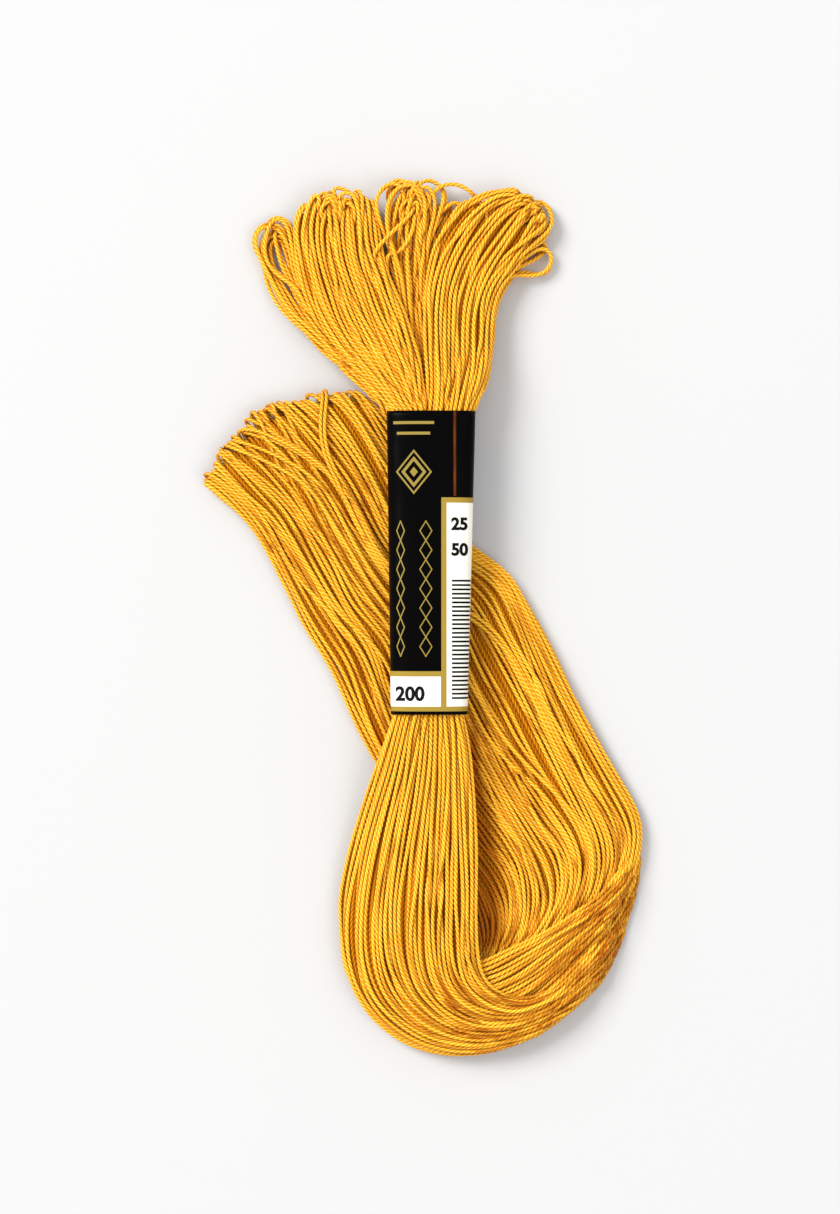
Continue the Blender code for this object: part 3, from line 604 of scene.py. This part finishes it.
def press_directions(paths):
    """Directions to the nearest points of other strands, the longer the nearer: at length 1 they touch."""
    sizes = [len(path) for path in paths]
    points = np.concatenate(paths)
    strand = np.repeat(np.arange(len(paths)), sizes)
    first, second = neighbours(points, PRESS_REACH)
    apart = strand[first] != strand[second]
    here = np.concatenate([first[apart], second[apart]])
    other = np.concatenate([second[apart], first[apart]])
    gap = points[other] - points[here]
    distance = np.sqrt((gap ** 2).sum(axis=1)) + 1e-6
    order = np.lexsort((distance, here))
    here, gap, distance = here[order], gap[order], distance[order]
    rank = np.arange(len(here)) - np.searchsorted(here, here, "left")
    kept = rank < PRESS_COUNT
    table = np.zeros((len(points), PRESS_COUNT, 3))
    near = np.clip((PRESS_REACH - distance) / (PRESS_REACH - 2 * THREAD_RADIUS), 0, 1) / distance
    table[here[kept], rank[kept]] = (gap * near[:, None])[kept]
    return np.split(table, np.cumsum(sizes)[:-1])


def ring_travel(path, fine, step):
    """Distances of the rings along a path and their count in sixths of a twist: every sixth where the path is
    fine, every second one where it is hidden."""
    travel = travel_along(path)
    total = max(3, int(travel[-1] / step))
    index = np.arange(total + 1)
    wanted = index * travel[-1] / total
    keep = (np.interp(wanted, travel, fine.astype(float)) > 0.5) | (index % 2 == 0)
    keep[-1] = True
    return travel, wanted[keep], index[keep]


def smooth_curve(path, travel, wanted):
    """Cubic through the path's points at the wanted distances, with slopes from the neighbours' chord."""
    slope = np.gradient(path, travel, axis=0)
    span = np.clip(np.searchsorted(travel, wanted, "right") - 1, 0, len(path) - 2)
    length = (travel[span + 1] - travel[span])[:, None]
    t = ((wanted - travel[span])[:, None]) / length
    start, end = path[span], path[span + 1]
    pull = slope[span] * length
    push = slope[span + 1] * length
    square, cube = t * t, t * t * t
    curve = start * (2 * cube - 3 * square + 1) + end * (3 * square - 2 * cube)
    return curve + pull * (cube - 2 * square + t) + push * (cube - square)


def carried_frames(curves):
    """Side vectors carried along all the curves at once: the last one less its part along the direction."""
    longest = max(len(curve) for curve in curves)
    tangents = np.zeros((len(curves), longest, 3))
    for k, curve in enumerate(curves):
        tangents[k, :len(curve)] = unit(np.gradient(curve, axis=0))
        tangents[k, len(curve):] = tangents[k, len(curve) - 1]
    side = np.zeros_like(tangents)
    last = unit(np.cross(tangents[:, 0], (0.05, 0.02, 1.0)))
    for ring in range(longest):
        last = unit(last - tangents[:, ring] * (last * tangents[:, ring]).sum(axis=1)[:, None])
        side[:, ring] = last
    return tangents, side


def put_in_scene(name, data):
    """New object of a mesh, a lamp or a camera."""
    made = bpy.data.objects.new(name, data)
    bpy.context.scene.collection.objects.link(made)
    return made


def mesh_from(name, points, triangles):
    """Smooth mesh object of points in millimetres and whole-array triangles."""
    mesh = bpy.data.meshes.new(name)
    mesh.vertices.add(len(points))
    mesh.vertices.foreach_set("co", (points * MM).astype(np.float32).ravel())
    mesh.loops.add(triangles.size)
    mesh.loops.foreach_set("vertex_index", triangles.astype(np.int32).ravel())
    mesh.polygons.add(len(triangles))
    mesh.polygons.foreach_set("loop_start", np.arange(0, triangles.size, 3, dtype=np.int32))
    mesh.polygons.foreach_set("loop_total", np.full(len(triangles), 3, dtype=np.int32))
    mesh.polygons.foreach_set("use_smooth", np.full(len(triangles), True))
    mesh.update(calc_edges=True)
    return put_in_scene(name, mesh)


def point_values(piece, label, values):
    """One number to each point of a piece, for its material."""
    layer = piece.data.attributes.new(label, "FLOAT", "POINT")
    layer.data.foreach_set("value", np.concatenate(values).astype(np.float32))


def chart_corners(piece, label, corners):
    """UV map of a piece: two numbers to each corner of a face."""
    layer = piece.data.uv_layers.new(name=label)
    layer.data.foreach_set("uv", np.concatenate(corners).astype(np.float32).ravel())


def ring_triangles(start, rings, around, closed=False):
    """Two triangles to each cell between neighbouring rings; a closed body's last ring meets its first."""
    ring = np.arange(rings - 1 + closed)[:, None]
    low, high = start + ring * around, start + (ring + 1) % rings * around
    place_in = np.arange(around)
    following = (place_in + 1) % around
    here, there, above, beyond = low + place_in, low + following, high + place_in, high + following
    return np.stack([here, there, above, there, beyond, above], -1).reshape(-1, 3)


def end_caps(start, rings, around):
    """Fans of triangles over the first and the last ring of a body."""
    fan = np.stack([np.zeros(around - 2), np.arange(1, around - 1), np.arange(2, around)], -1).astype(int)
    return np.concatenate([fan[:, ::-1] + start, fan + start + (rings - 1) * around])


def thread_piece(name, curves, counts, presses, tones):
    """Three-ply strands: rings of three crowns and three grooves, each ring a sixth of a turn on from the last.

    A point is curve + r (cos q side + sin q up), q = 60 degrees x place in the ring, where r is the full radius
    on a crown and less by the ply depth in a groove. With each ring the crowns step back one place, so the
    plies climb left-handed. The "plies" chart counts turns of the twist along the strand and turns round it.
    The painted shade value is how squarely a point faces the nearest strand beside it, or the fold's shade
    where that is more.
    """
    tangents, sides = carried_frames(curves)
    turn = np.arange(6)
    cells = sum(len(curve) - 1 for curve in curves)
    per_line = max(60, int(math.sqrt(cells * 7.0)))
    lines = cells // per_line + 2
    points, triangles, chart, plies, tone_values, painted_shade_values = [], [], [], [], [], []
    start = laid = 0
    for k, curve in enumerate(curves):
        count = len(curve)
        ring = np.arange(count)
        side = sides[k, :count]
        up = np.cross(tangents[k, :count], side)
        plain = np.zeros(count, dtype=bool)
        plain[:-1] |= np.diff(counts[k]) > 1
        plain[1:] |= np.diff(counts[k]) > 1
        crown = np.where(plain[:, None], 0.5, (counts[k][:, None] + turn) % 2 == 0)
        swell = THREAD_RADIUS * (1.0 - PLY_DEPTH * (1.0 - crown))
        swell[[0, -1]] *= END_TAPER
        angle = (turn + STRAND_TURN * k) * math.pi / 3
        around = np.cos(angle)[:, None] * side[:, None] + np.sin(angle)[:, None] * up[:, None]
        points.append((curve[:, None] + swell[..., None] * around).reshape(-1, 3))
        triangles += [ring_triangles(start, count, 6), end_caps(start, count, 6)]
        # Each cell of the strand has its own place in the bake chart, lines of cells under one another.
        cell = laid + ring[:-1, None]
        left, low = cell % per_line / per_line, (cell // per_line + turn / CHART_TURN) / lines
        chart += [corner_pairs(left, low, left + 1 / per_line, low + 1 / CHART_TURN / lines),
                  np.tile([[0.0, 0.0], [0.001, 0.0], [0.0, 0.001]], (8, 1))]
        twist = counts[k][:, None] / 6
        plies += [corner_pairs(twist[:-1], turn / 6, twist[1:], (turn + 1) / 6), np.zeros((24, 2))]
        tone_values.append(np.full(count * 6, tones[k]))
        # Painted shade: a point that faces a near strand, or lies deep in the fold, is darkened toward a deep
        # brown.
        lay_point = np.round(ring / (count - 1) * (len(presses[k]) - 1)).astype(int)
        facing = np.einsum("rvx,rnx->rvn", around, presses[k][lay_point]).max(axis=2)
        painted_shade_values.append(np.clip(np.maximum(facing, fold_shade(curve)[:, None]), 0, 1).ravel())
        start += count * 6
        laid += count - 1
    made = mesh_from(name, np.concatenate(points), np.concatenate(triangles))
    point_values(made, "tone", tone_values)
    point_values(made, "press", painted_shade_values)
    chart_corners(made, "OFBake", chart)
    chart_corners(made, "plies", plies)
    return made


def fold_shade(points):
    """0.95 deep in the fold beside the front leg, down to nothing where the fold opens: little light comes out.

    The fold's shade reaches 2 mm from the leg at its head and 10.5 mm at its foot.
    """
    x, y, z = points.T
    from_leg = x - 9.8 - 3.4 * np.sqrt(np.clip((-22.0 - y) / 46.0, 0, 1))
    reach = 2 + 8.5 * ease(-y, 30, 56)
    beside = ease(from_leg, -3.0, -1.0) * (1 - ease(from_leg / reach, 0.2, 1.0))
    return 0.95 * beside * ease(-y, 17, 26) * ease(y, -74, -68) * ease(z, 0.8, 1.8) * (1 - ease(z, 4.6, 6.4))


def corner_pairs(u_low, v_low, u_high, v_high):
    """Chart corners of each cell's two triangles, in the order here, there, above and there, beyond, above."""
    u_low, v_low, u_high, v_high = np.broadcast_arrays(u_low, v_low, u_high, v_high)
    here, there = np.stack([u_low, v_low], -1), np.stack([u_low, v_high], -1)
    above, beyond = np.stack([u_high, v_low], -1), np.stack([u_high, v_high], -1)
    return np.stack([here, there, above, there, beyond, above], -2).reshape(-1, 2)


def under_layer(name, locks):
    """Strands that lie under the top ones: one closed ribbed body to a lock, a thread's depth inside it.

    The top is the strand places drawn down by a thread's width, raised over each rib by the radius x the root
    of 1 - (2f - 1)^2, f = 0 to 1 across the rib. The ribs of the underside have a crown and a groove only. The
    plies chart is as the strands'.
    """
    points, triangles, plies, tone_values, painted_shade_values = [], [], [], [], []
    fraction, painted_shade_over = np.array([0.0, 0.22, 0.5, 0.78]), [1.0, 0.6, 0.1, 0.6]
    start = 0
    for rows, first, last, ribs in locks:
        travel = row_at_travel(rows, first, last, 1.4)
        over = ((np.arange(ribs)[:, None] + fraction) / ribs).ravel()
        over = UNDER_EDGE + (1 - 2 * UNDER_EDGE) * np.append(over, 1.0)
        back = np.linspace(1 - UNDER_EDGE, UNDER_EDGE, 2 * ribs + 1)[1:-1]
        back_crown = np.arange(1, 2 * ribs) % 2
        raised = np.append(np.tile(np.sqrt(1 - (2 * fraction - 1) ** 2), ribs), 0.0)
        raised = np.append(raised, -back_crown) * THREAD_RADIUS
        side = np.append(np.ones(len(over)), -np.ones(len(back)))
        across = np.append(over, back)
        ring = place(rows, travel[:, None], across, side)
        middle = place(rows, travel[:, None], across, 0.0)[..., 2]
        thick = ring[..., 2] - middle
        keep = np.clip((np.abs(thick) - THREAD_DOWN) / np.maximum(np.abs(thick), 0.05), 0.1, 1.0)
        ring[..., 2] = np.maximum(middle + thick * keep + raised, UNDER_FLOOR)
        count, around = ring.shape[:2]
        points.append(ring.reshape(-1, 3))
        triangles += [ring_triangles(start, count, around), end_caps(start, count, around)]
        run = travel_along(ring[:, around // 4]) / PLY_PITCH
        rib = np.append(np.repeat(np.arange(ribs), 4), np.repeat(np.arange(ribs), 2))
        low = np.append(np.tile(fraction, ribs), np.tile([0.0, 0.5], ribs)) / 2 + STRAND_TURN * rib
        high = np.append(np.tile([*fraction[1:], 1.0], ribs), np.tile([0.5, 1.0], ribs)) / 2 + STRAND_TURN * rib
        plies += [corner_pairs(run[:-1, None], low, run[1:, None], high), np.zeros((6 * (around - 2), 2))]
        tone_values.append(np.tile(np.sin(rib * 2.4) * 0.3 + 0.45, count))
        # Painted shade: dark at the edges of each rib and in the grooves of the underside, light on the crowns.
        press = np.concatenate([np.tile(painted_shade_over, ribs), [1.0], 1 - 0.9 * back_crown])
        painted_shade_values.append(np.tile(press, count))
        start += count * around
    made = mesh_from(name, np.concatenate(points), np.concatenate(triangles))
    point_values(made, "tone", tone_values)
    point_values(made, "press", painted_shade_values)
    chart_corners(made, "plies", plies)
    face_out(made)
    return made


def face_out(piece):
    """Turn every face of a closed piece outwards."""
    shell = bmesh.new()
    shell.from_mesh(piece.data)
    bmesh.ops.recalc_face_normals(shell, faces=shell.faces[:])
    shell.to_mesh(piece.data)
    shell.free()


def linear(code):
    """Linear colour of an sRGB hex value: below 0.04045 divided by 12.92, above it the 2.4 power curve."""
    parts = [int(code[k:k + 2], 16) / 255 for k in (1, 3, 5)]
    return tuple(c / 12.92 if c <= 0.04045 else ((c + 0.055) / 1.055) ** 2.4 for c in parts) + (1.0,)


def add_node(tree, kind, settings, *inputs, give=None, **named):
    """Add a shader node with its settings and inputs, and give back its named output or its first live one.

    Inputs are sockets to link or values to set. They go by place among the node's live sockets, or by name.
    """
    node = tree.nodes.new("ShaderNode" + kind)
    for key, value in settings.items():
        setattr(node, key, value)
    live = [socket for socket in node.inputs if socket.enabled]
    pairs = [*zip(live, inputs), *((node.inputs[key.replace("_", " ")], value) for key, value in named.items())]
    for socket, value in pairs:
        if isinstance(value, bpy.types.NodeSocket):
            tree.links.new(value, socket)
        else:
            socket.default_value = value
    return node.outputs[give] if give else [socket for socket in node.outputs if socket.enabled][0]


def new_material(name, base, **finish):
    """Node material with its Principled shader; the finish is values for the shader's own sockets."""
    material = bpy.data.materials.new(name)
    material.use_nodes = True
    material.diffuse_color = linear(base)
    shader = material.node_tree.nodes["Principled BSDF"]
    shader.inputs["Base Color"].default_value = linear(base)
    for key, value in finish.items():
        shader.inputs[key.replace("_", " ")].default_value = value
    return material, material.node_tree, shader


def mercerised_cotton(name, painted_shade_colour, groove, shade, light, painted_highlight, highlight_share):
    """Mercerised cotton, three plies twisted together: silky, with a painted highlight along every ply.

    Where strands touch, and deep in the fold, painted shade of deep brown is mixed in, which draws each strand
    apart from the next.
    """
    material, tree, shader = new_material(
        name, light, Roughness=0.38, Specular_IOR_Level=0.4, Specular_Tint=linear("#ffc440"),
        Sheen_Weight=0.05, Sheen_Roughness=0.4, Sheen_Tint=linear("#ffc22c"))
    add = functools.partial(add_node, tree)
    plus, times, both, power = ({"operation": kind} for kind in ("ADD", "MULTIPLY", "MULTIPLY_ADD", "POWER"))
    clamped = {"operation": "ADD", "use_clamp": True}
    colours = {"data_type": "RGBA"}
    chart = add("UVMap", {"uv_map": "plies"})
    along = add("SeparateXYZ", {}, chart, give="X")
    tone = add("Attribute", {"attribute_name": "tone"}, give="Fac")
    where = add("TexCoord", {}, give="Object")
    # The crown of a ply comes three times in a turn of twist: 3.3 mm along the strand.
    wound = add("Math", plus, along, along.node.outputs["Y"])
    wave = add("Math", {"operation": "COSINE"}, add("Math", times, wound, 6 * math.pi))
    crown = add("Math", both, wave, 0.5, 0.5)
    # Fibres run along the plies, about 0.08 mm apart; finer ones would not show.
    fibre_place = add("CombineXYZ", {}, add("Math", times, wound, 40.0), along, add("Math", times, tone, 90.0))
    fibres = add("TexNoise", {}, Vector=fibre_place, Scale=1.6, Detail=2.0)
    # Dyed thread drifts between two golds in patches about 5 mm wide.
    patches = add("TexNoise", {}, Vector=where, Scale=190.0, Detail=2.0)
    drift = add("Math", both, patches, 1.2, -0.6)
    body = add("Mix", colours, add("Math", clamped, tone, drift), linear(shade), linear(light))
    rounded = add("Math", power, crown, 0.55)
    depth = add("Math", clamped, rounded, add("Math", both, fibres, 0.7, -0.35))
    # Painted shade: between the crowns of the plies the colour falls to the darker groove colour.
    ply_colour = add("Mix", colours, depth, linear(groove), body)
    # Painted highlight: the crowns of the plies are mixed toward a pale gold.
    highlight_mix = add("Math", times, add("Math", power, crown, 3.0), highlight_share)
    colour = add("Mix", colours, highlight_mix, ply_colour, linear(painted_highlight))
    # Painted shade: deep brown mixed in where strands lie close together and deep in the fold.
    press = add("Attribute", {"attribute_name": "press"}, give="Fac")
    painted_shade_share = add("Math", times, add("Math", power, press, 2.8), 0.95)
    colour = add("Mix", colours, painted_shade_share, colour, linear(painted_shade_colour))
    tree.links.new(colour, shader.inputs["Base Color"])
    height = add("Math", both, fibres, 0.22, rounded)
    bump = add("Bump", {}, Strength=0.8, Distance=0.0001, Height=height)
    tree.links.new(bump, shader.inputs["Normal"])
    return material


def printed_paper(name):
    """Coated label paper, printed black with white panels and dull gold: smooth, with a soft gloss."""
    material, tree, shader = new_material(name, PAPER_BLACK, Roughness=0.3, Specular_IOR_Level=0.035)
    add = functools.partial(add_node, tree)
    colours, times = {"data_type": "RGBA"}, {"operation": "MULTIPLY"}
    inside, minus, size = {"operation": "COMPARE"}, {"operation": "SUBTRACT"}, {"operation": "ABSOLUTE"}
    where = add("VectorMath", {"operation": "SCALE"}, add("TexCoord", {}, give="Object"), Scale=1 / MM)
    x = add("Attribute", {"attribute_name": "unrolled"}, give="Fac")
    y = add("SeparateXYZ", {}, where, give="Y")
    front = add("Math", {"operation": "GREATER_THAN"}, y.node.outputs["Z"], FRONT_ABOVE)
    colour = linear(PAPER_BLACK)

    def panel(left, right, low, high):
        """1 within a rectangle of the front, 0 outside it."""
        wide = add("Math", inside, x, (left + right) / 2, (right - left) / 2)
        tall = add("Math", inside, y, (low + high) / 2, (high - low) / 2)
        return add("Math", times, add("Math", times, wide, tall), front)

    for code, left, right, low, high in PRINTED_PANELS:
        colour = add("Mix", colours, panel(left, right, low, high), colour, linear(code))
    # Plain rules, one to 0.9 mm, in the tall white panel.
    step = add("Math", {"operation": "PINGPONG"}, y, 0.45)
    line = add("Math", {"operation": "GREATER_THAN"}, step, 0.24)
    rules = add("Math", times, line, panel(6.3, 11.3, -16.9, 8.3))
    colour = add("Mix", colours, rules, colour, linear("#0c0a08"))
    # Two chains of lozenges, 4 mm to a lozenge.
    swing = add("Math", {"operation": "PINGPONG"}, y, 2.0)
    for middle, wide in ((-4.4, 0.42), (0.9, 0.62)):
        away = add("Math", size, add("Math", minus, x, middle))
        edge = add("Math", inside, away, add("Math", times, swing, wide), 0.13)
        chain = add("Math", times, edge, panel(middle - 1.6, middle + 1.6, -8.1, 20.1))
        colour = add("Mix", colours, chain, colour, linear(PRINTED_GOLD))
    # One lozenge in three outlines at the head of the label.
    away_x = add("Math", size, add("Math", minus, x, -1.6))
    away_y = add("Math", size, add("Math", minus, y, 30.2))
    reach = add("Math", {"operation": "MULTIPLY_ADD"}, away_x, 0.26, add("Math", times, away_y, 0.21))
    for outline, half in ((0.92, 0.06), (0.58, 0.10), (0.0, 0.22)):
        band = add("Math", times, add("Math", inside, reach, outline, half), front)
        colour = add("Mix", colours, band, colour, linear(PRINTED_GOLD))
    # A warm brown streak runs down the long fold on the right.
    fold_streak = add("TexNoise", {}, Vector=add("VectorMath", times, where, (1.0, 0.25, 1.0)), Scale=0.9)
    near = add("Math", size, add("Math", minus, x, 6.9))
    near = add("Math", {"operation": "MULTIPLY_ADD", "use_clamp": True}, near, -2.6, 1.0)
    fold = add("Math", times, add("Math", times, near, fold_streak), panel(5.5, 8.4, 25.2, 42.7))
    colour = add("Mix", colours, fold, colour, linear("#8f4a1a"))
    tree.links.new(colour, shader.inputs["Base Color"])
    return material


def sleeve_point(angle, level, shrink):
    """Point of the paper at an angle round the sleeve and a height, drawn in by the shrink.

    The ring is centre + half x the signed 2/power root of cosine and sine. Slow sines of height and angle dent
    the paper by up to 0.15 mm.
    """
    cx, cz, half_x, half_z = sleeve_room(level)
    c, s = np.cos(angle), np.sin(angle)
    dent = 0.10 * np.sin(level * 0.21 + 3 * c) * np.sin(2.3 * c + 1.1) + 0.05 * np.sin(level * 0.55 + 4 * c)
    x = cx + np.sign(c) * np.abs(c) ** (2 / SLEEVE_POWER) * (half_x - shrink)
    z = cz + np.sign(s) * np.abs(s) ** (2 / SLEEVE_POWER) * (half_z - shrink - 0.15 + dent)
    return np.stack([x, level + 0 * x, z], -1)


def sleeve_surface(name, wall, around=96, along=64):
    """Paper band: rings up the outside and down the inside, a grid that closes both ways.

    Its "unrolled" value is the middle's x plus the way round the paper from the middle of the front, to the
    right, so a printed edge runs straight down the side of the band.
    """
    angle = np.linspace(1.5 * math.pi, -0.5 * math.pi, around, endpoint=False)
    level = np.linspace(SLEEVE_BOTTOM, SLEEVE_TOP, along)[:, None]
    outer, inner = sleeve_point(angle, level, 0.0), sleeve_point(angle, level, wall)
    step = np.linalg.norm(np.roll(outer, -1, axis=1) - outer, axis=2)
    travel = np.cumsum(step, axis=1) - step
    unrolled = sleeve_room(level)[0] + travel - travel[:, around // 2, None]
    points = np.concatenate([outer, inner[::-1]]).reshape(-1, 3)
    made = mesh_from(name, points, ring_triangles(0, 2 * along, around, closed=True))
    point_values(made, "unrolled", [unrolled.ravel(), unrolled[::-1].ravel()])
    face_out(made)
    return made


def printed_number(name, text, middle_x, middle_y, height):
    """Plain printed figures: flat letters 0.06 mm thick, cut every 0.4 mm and laid on the front of the sleeve.

    A point x from the sleeve's centre lies at the angle whose cosine is |x / half x| to half the sleeve power.
    """
    curve = bpy.data.curves.new(name, "FONT")
    curve.body = text
    curve.size = height * 1.38
    curve.align_x = curve.align_y = "CENTER"
    curve.extrude = 0.03
    curve.offset = 0.14
    letters = put_in_scene(name, curve)
    bpy.context.view_layer.update()
    mesh = bpy.data.meshes.new_from_object(letters.evaluated_get(bpy.context.evaluated_depsgraph_get()))
    bpy.data.objects.remove(letters)
    cut = bmesh.new()
    cut.from_mesh(mesh)
    for line in np.arange(-2 * height, 2 * height, 0.4):
        everything = cut.verts[:] + cut.edges[:] + cut.faces[:]
        bmesh.ops.bisect_plane(cut, geom=everything, plane_co=(line, 0, 0), plane_no=(1, 0, 0))
    cut.to_mesh(mesh)
    cut.free()
    flat = np.empty(len(mesh.vertices) * 3, dtype=np.float32)
    mesh.vertices.foreach_get("co", flat)
    flat = flat.reshape(-1, 3).astype(float)
    x, y = flat[:, 0] + middle_x, flat[:, 1] + middle_y
    cx, _, half_x, _ = sleeve_room(y)
    share = np.clip((x - cx) / half_x, -0.999, 0.999)
    angle = np.arccos(np.sign(share) * np.abs(share) ** (SLEEVE_POWER / 2))
    raised = sleeve_point(angle, y, 0.0)
    raised[:, 0] = x
    raised[:, 2] += 0.04 + flat[:, 2]
    mesh.vertices.foreach_set("co", (raised * MM).astype(np.float32).ravel())
    mesh.update()
    made = put_in_scene(name, mesh)
    face_out(made)
    return made


def area_light(name, place_at, size, power, colour):
    """Soft square lamp at a place, turned towards the origin."""
    lamp = bpy.data.lights.new(name, "AREA")
    lamp.shape = "SQUARE"
    lamp.size = size
    lamp.energy = power
    lamp.color = colour
    made = put_in_scene(name, lamp)
    made.location = place_at
    made.rotation_euler = (-Vector(place_at)).to_track_quat("-Z", "Y").to_euler()


rng = np.random.default_rng(20)
below = long_turns(rng)
above = fan_turns(rng)
paths = settle([resample(path, LAY_STEP) for path in below + above + loose_turns(rng)], len(below))

presses = press_directions(paths)
fan_start, loose_start = len(below), len(below) + len(above)
# The strands above the sleeve, fan and stray loops, get a darker gold: painted shade.
tones = np.clip(rng.normal(0.5, 0.22, len(paths)) - 0.4 * (np.arange(len(paths)) >= fan_start), 0, 1)
twists = rng.uniform(0.92, 1.1, len(paths))
curves, counts = [], []
for number, path in enumerate(paths):
    # The undersides of the long turns lie on the table and need half the rings.
    fine = (path[:, 2] > 1.15) | (number >= fan_start)
    travel, wanted, count = ring_travel(path, fine, RING_STEP * twists[number])
    curves.append(smooth_curve(path, travel, wanted))
    counts.append(count)

cotton = mercerised_cotton("mercerised_cotton", "#923800", "#e08a04", "#f2a00c", "#ffc42a", "#ffe870", 0.6)
# A darker copy of the cotton for the strands beneath: painted shade.
shaded_cotton = mercerised_cotton("shaded_cotton", "#702800", "#a05000", "#c07006", "#da9212", "#eeb22e", 0.3)
groups = [("thread_turns_%d" % (group + 1), group * 12, group * 12 + 12) for group in range(4)]
groups += [("fan_turns", fan_start, loose_start), ("loose_turns", loose_start, len(paths))]
for label, first, last in groups:
    piece = thread_piece(label, *(values[first:last] for values in (curves, counts, presses, tones)))
    piece.data.materials.append(cotton)
    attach(piece, "root")
core = under_layer("under_turns", (
    (FRONT_LEG, 0, 20.5, 26), (INNER_BEND, 0.5, 11, 22), (COLUMN, 0.6, 18.5, 40), (COLUMN, 18.5, 28, 20),
    (FAN_LEFT, 0, 8.3, 22), (FAN_MIDDLE, 0, 5.5, 6), (FAN_RIGHT, 0, 8.2, 16)))
core.data.materials.append(shaded_cotton)
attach(core, "root")
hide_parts("hank")

sleeve = sleeve_surface("paper_sleeve", PAPER)
sleeve.data.materials.append(printed_paper("coated_printed_paper"))
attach(sleeve, "root")
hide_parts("sleeve")

# Printing ink: flat black with no relief to see.
ink = new_material("printing_ink", "#040303", Roughness=0.6, Specular_IOR_Level=0.1)[0]
figures = (("number_in_panel", "200", -2.4, -15.9, 2.9), ("upper_number", "25", 7.9, 19.3, 2.5),
           ("lower_number", "50", 7.9, 14.0, 2.5))
for label, text, x, y, height in figures:
    number = printed_number(label, text, x, y, height)
    number.data.materials.append(ink)
    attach(number, "root")

floor_mesh = bpy.data.meshes.new("table_top")
floor_mesh.from_pydata([(-3, -3, 0), (3, -3, 0), (3, 3, 0), (-3, 3, 0)], [], [(0, 1, 2, 3)])
floor = put_in_scene("table_top", floor_mesh)
# Matt painted board: even and pale, with no gloss.
paint = new_material("matt_painted_board", "#c7c7c7", Roughness=0.9, Specular_IOR_Level=0.1)[0]
floor.data.materials.append(paint)

area_light("key_softbox", (-2.3, 1.7, 2.5), 1.8, 158.0, (1.0, 1.0, 0.99))
area_light("fill_softbox", (1.8, -1.4, 2.8), 2.4, 34.0, (1.0, 1.0, 1.0))
world = bpy.data.worlds.new("studio_air")
bpy.context.scene.world = world
world.use_nodes = True
air = world.node_tree.nodes["Background"]
air.inputs["Color"].default_value = (1, 1, 1, 1)
air.inputs["Strength"].default_value = 0.82

# The camera looks straight down. A pixel of the photograph is 0.21 mm on a plane 4 mm above the table.
PIXEL = 0.21 * MM
FRAME_HEIGHT = 1214
ORIGIN_TO_MIDDLE = (-1.5, 10.5)
SENSOR = 36
LENS = 85
camera_data = bpy.data.cameras.new("camera")
camera_data.sensor_fit = "VERTICAL"
camera_data.sensor_height = SENSOR
camera_data.lens = LENS
camera = put_in_scene("camera", camera_data)
camera.location = (ORIGIN_TO_MIDDLE[0] * PIXEL, ORIGIN_TO_MIDDLE[1] * PIXEL,
                   FRAME_HEIGHT * PIXEL * LENS / SENSOR + 4 * MM)
bpy.context.scene.camera = camera
bpy.context.scene.view_settings.view_transform = "Standard"
